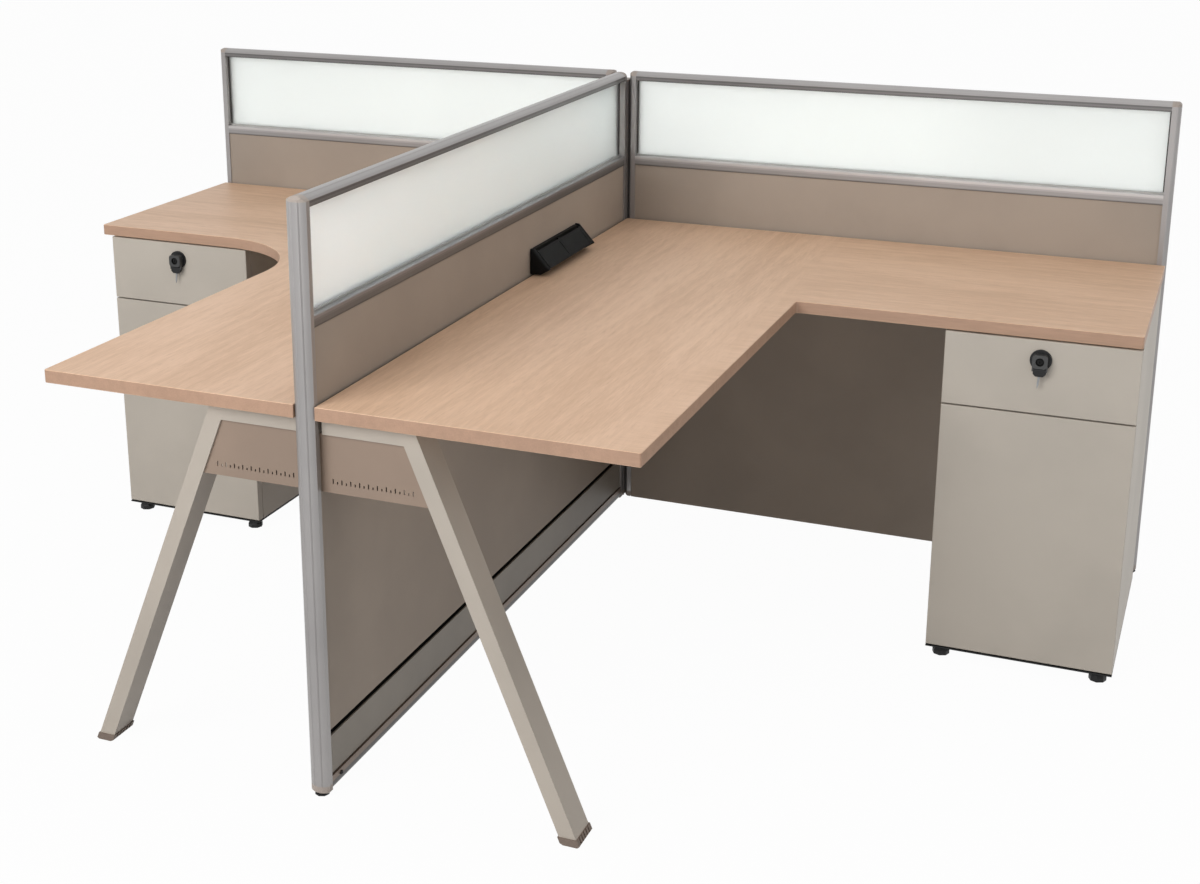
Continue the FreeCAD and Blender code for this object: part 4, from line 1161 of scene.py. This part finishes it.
class WORKSTATION_OT_studio(WorkstationOperator, bpy.types.Operator):
    """Set up the floor, the light and the camera"""

    bl_idname = "workstation.studio"
    bl_label = "Studio"

    lamps = {
        "top": Lamp((1.1, 0.0, 3.6), (0.5, 0.1, 0.7), 3.6),
        "key": Lamp((-1.4, -4.2, 3.3), (0.3, 0.2, 0.6), 3.0),
        "left": Lamp((-3.0, -3.2, 2.6), (-0.5, 0.2, 0.5), 2.4),
        "right": Lamp((4.4, -0.6, 1.4), (0.8, 0.2, 0.5), 2.0),
        "fill": Lamp((0.4, -4.4, 0.8), (0.9, 0.8, 0.35), 1.6),
    }
    floor_side = 60.0
    floor_grey = (0.62, 0.62, 0.62, 1.0)
    floor_white_share = 0.97
    ambient_tint = (1.0, 0.99, 0.98, 1.0)
    behind_start = 0.1
    behind_full = 0.7
    sensor_width = 36.0

    def execute(self, context):
        studio = context.scene.workstation_studio
        self.add_floor()
        self.set_world(context, studio)
        for name, lamp in self.lamps.items():
            self.add_light("%s_light" % name, lamp, getattr(studio, "%s_power" % name))
        self.add_camera(context, studio)
        context.scene.view_settings.view_transform = "Standard"
        return {"FINISHED"}

    def add_floor(self):
        """Floor that lights the piece like a grey sheet and shows as white in the picture."""
        deselect_all()
        bpy.ops.mesh.primitive_plane_add(size=self.floor_side)
        floor = bpy.context.object
        floor.name = "studio_floor"
        material, tree, shader = new_material("floor_white")
        feed(tree, shader, {"Base Color": self.floor_grey, "Roughness": 0.9})
        shown = math_node(tree, "MULTIPLY", seen(tree), self.floor_white_share)
        white = node(tree, "ShaderNodeEmission", {"Color": WHITE, "Strength": 1.0})
        surface = {0: shown, 1: shader.outputs["BSDF"], 2: white.outputs["Emission"]}
        both = node(tree, "ShaderNodeMixShader", surface)
        output = next(each for each in tree.nodes if each.type == "OUTPUT_MATERIAL")
        feed(tree, output, {"Surface": both.outputs["Shader"]})
        floor.data.materials.append(material)

    def set_world(self, context, studio):
        """Soft light from all round, stronger from behind, that shows as white in the picture."""
        world = bpy.data.worlds.new("studio_world")
        world.use_nodes = True
        tree = world.node_tree
        tree.nodes.clear()
        behind = axis(tree, node(tree, "ShaderNodeTexCoord").outputs["Generated"], "Y")
        level = spread(
            tree, behind, self.behind_start, self.behind_full, studio.ambient, studio.ambient_back
        )
        soft = node(tree, "ShaderNodeBackground", {"Color": self.ambient_tint, "Strength": level})
        white = node(tree, "ShaderNodeBackground", {"Color": WHITE, "Strength": 1.0})
        surface = {0: seen(tree), 1: soft.outputs["Background"], 2: white.outputs["Background"]}
        both = node(tree, "ShaderNodeMixShader", surface)
        node(tree, "ShaderNodeOutputWorld", {"Surface": both.outputs["Shader"]})
        context.scene.world = world

    def add_light(self, name, lamp, power):
        bpy.ops.object.light_add(type="AREA", location=lamp.place)
        light = bpy.context.object
        light.name = name
        light.data.size = lamp.side
        light.data.energy = power
        self.face(light, lamp.place, lamp.aim)

    def add_camera(self, context, studio):
        bpy.ops.object.camera_add(location=studio.camera_place)
        camera = bpy.context.object
        self.face(camera, studio.camera_place, studio.camera_aim)
        camera.data.lens = studio.lens
        camera.data.sensor_width = self.sensor_width
        camera.data.shift_x = studio.shift_right
        camera.data.shift_y = studio.shift_up
        context.scene.camera = camera

    def face(self, item, place, aim):
        """Turn a light or camera towards a point."""
        item.rotation_euler = (Vector(aim) - Vector(place)).to_track_quat("-Z", "Y").to_euler()


OPERATORS = (
    WORKSTATION_OT_screens,
    WORKSTATION_OT_worktops,
    WORKSTATION_OT_legs,
    WORKSTATION_OT_slot_strips,
    WORKSTATION_OT_pedestals,
    WORKSTATION_OT_locks,
    WORKSTATION_OT_power,
    WORKSTATION_OT_key_parts,
    WORKSTATION_OT_screws,
    WORKSTATION_OT_drawer_fittings,
    WORKSTATION_OT_studio,
)

SETTINGS = {
    "workstation_finishes": WORKSTATION_PG_finishes,
    "workstation_fittings": WORKSTATION_PG_fittings,
    "workstation_studio": WORKSTATION_PG_studio,
}


class WORKSTATION_PT_panel(bpy.types.Panel):
    """Buttons for the workstation's pieces and studio."""

    bl_label = "Office Workstation"
    bl_space_type = "VIEW_3D"
    bl_region_type = "UI"
    bl_category = "Workstation"

    def draw(self, context):
        for operator in OPERATORS:
            self.layout.operator(operator.bl_idname)


def register():
    for name, settings in SETTINGS.items():
        bpy.utils.register_class(settings)
        setattr(bpy.types.Scene, name, PointerProperty(type=settings))
    for operator in OPERATORS:
        bpy.utils.register_class(operator)
    bpy.utils.register_class(WORKSTATION_PT_panel)


def unregister():
    bpy.utils.unregister_class(WORKSTATION_PT_panel)
    for operator in reversed(OPERATORS):
        bpy.utils.unregister_class(operator)
    for name, settings in SETTINGS.items():
        delattr(bpy.types.Scene, name)
        bpy.utils.unregister_class(settings)


def main():
    register()
    bpy.ops.workstation.screens()
    bpy.ops.workstation.worktops()
    bpy.ops.workstation.legs()
    bpy.ops.workstation.slot_strips()
    bpy.ops.workstation.pedestals()
    bpy.ops.workstation.locks()
    bpy.ops.workstation.power()
    bpy.ops.workstation.key_parts()
    bpy.ops.workstation.screws()
    bpy.ops.workstation.drawer_fittings()
    bpy.ops.workstation.studio()
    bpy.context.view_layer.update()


if __name__ == "__main__":
    main()
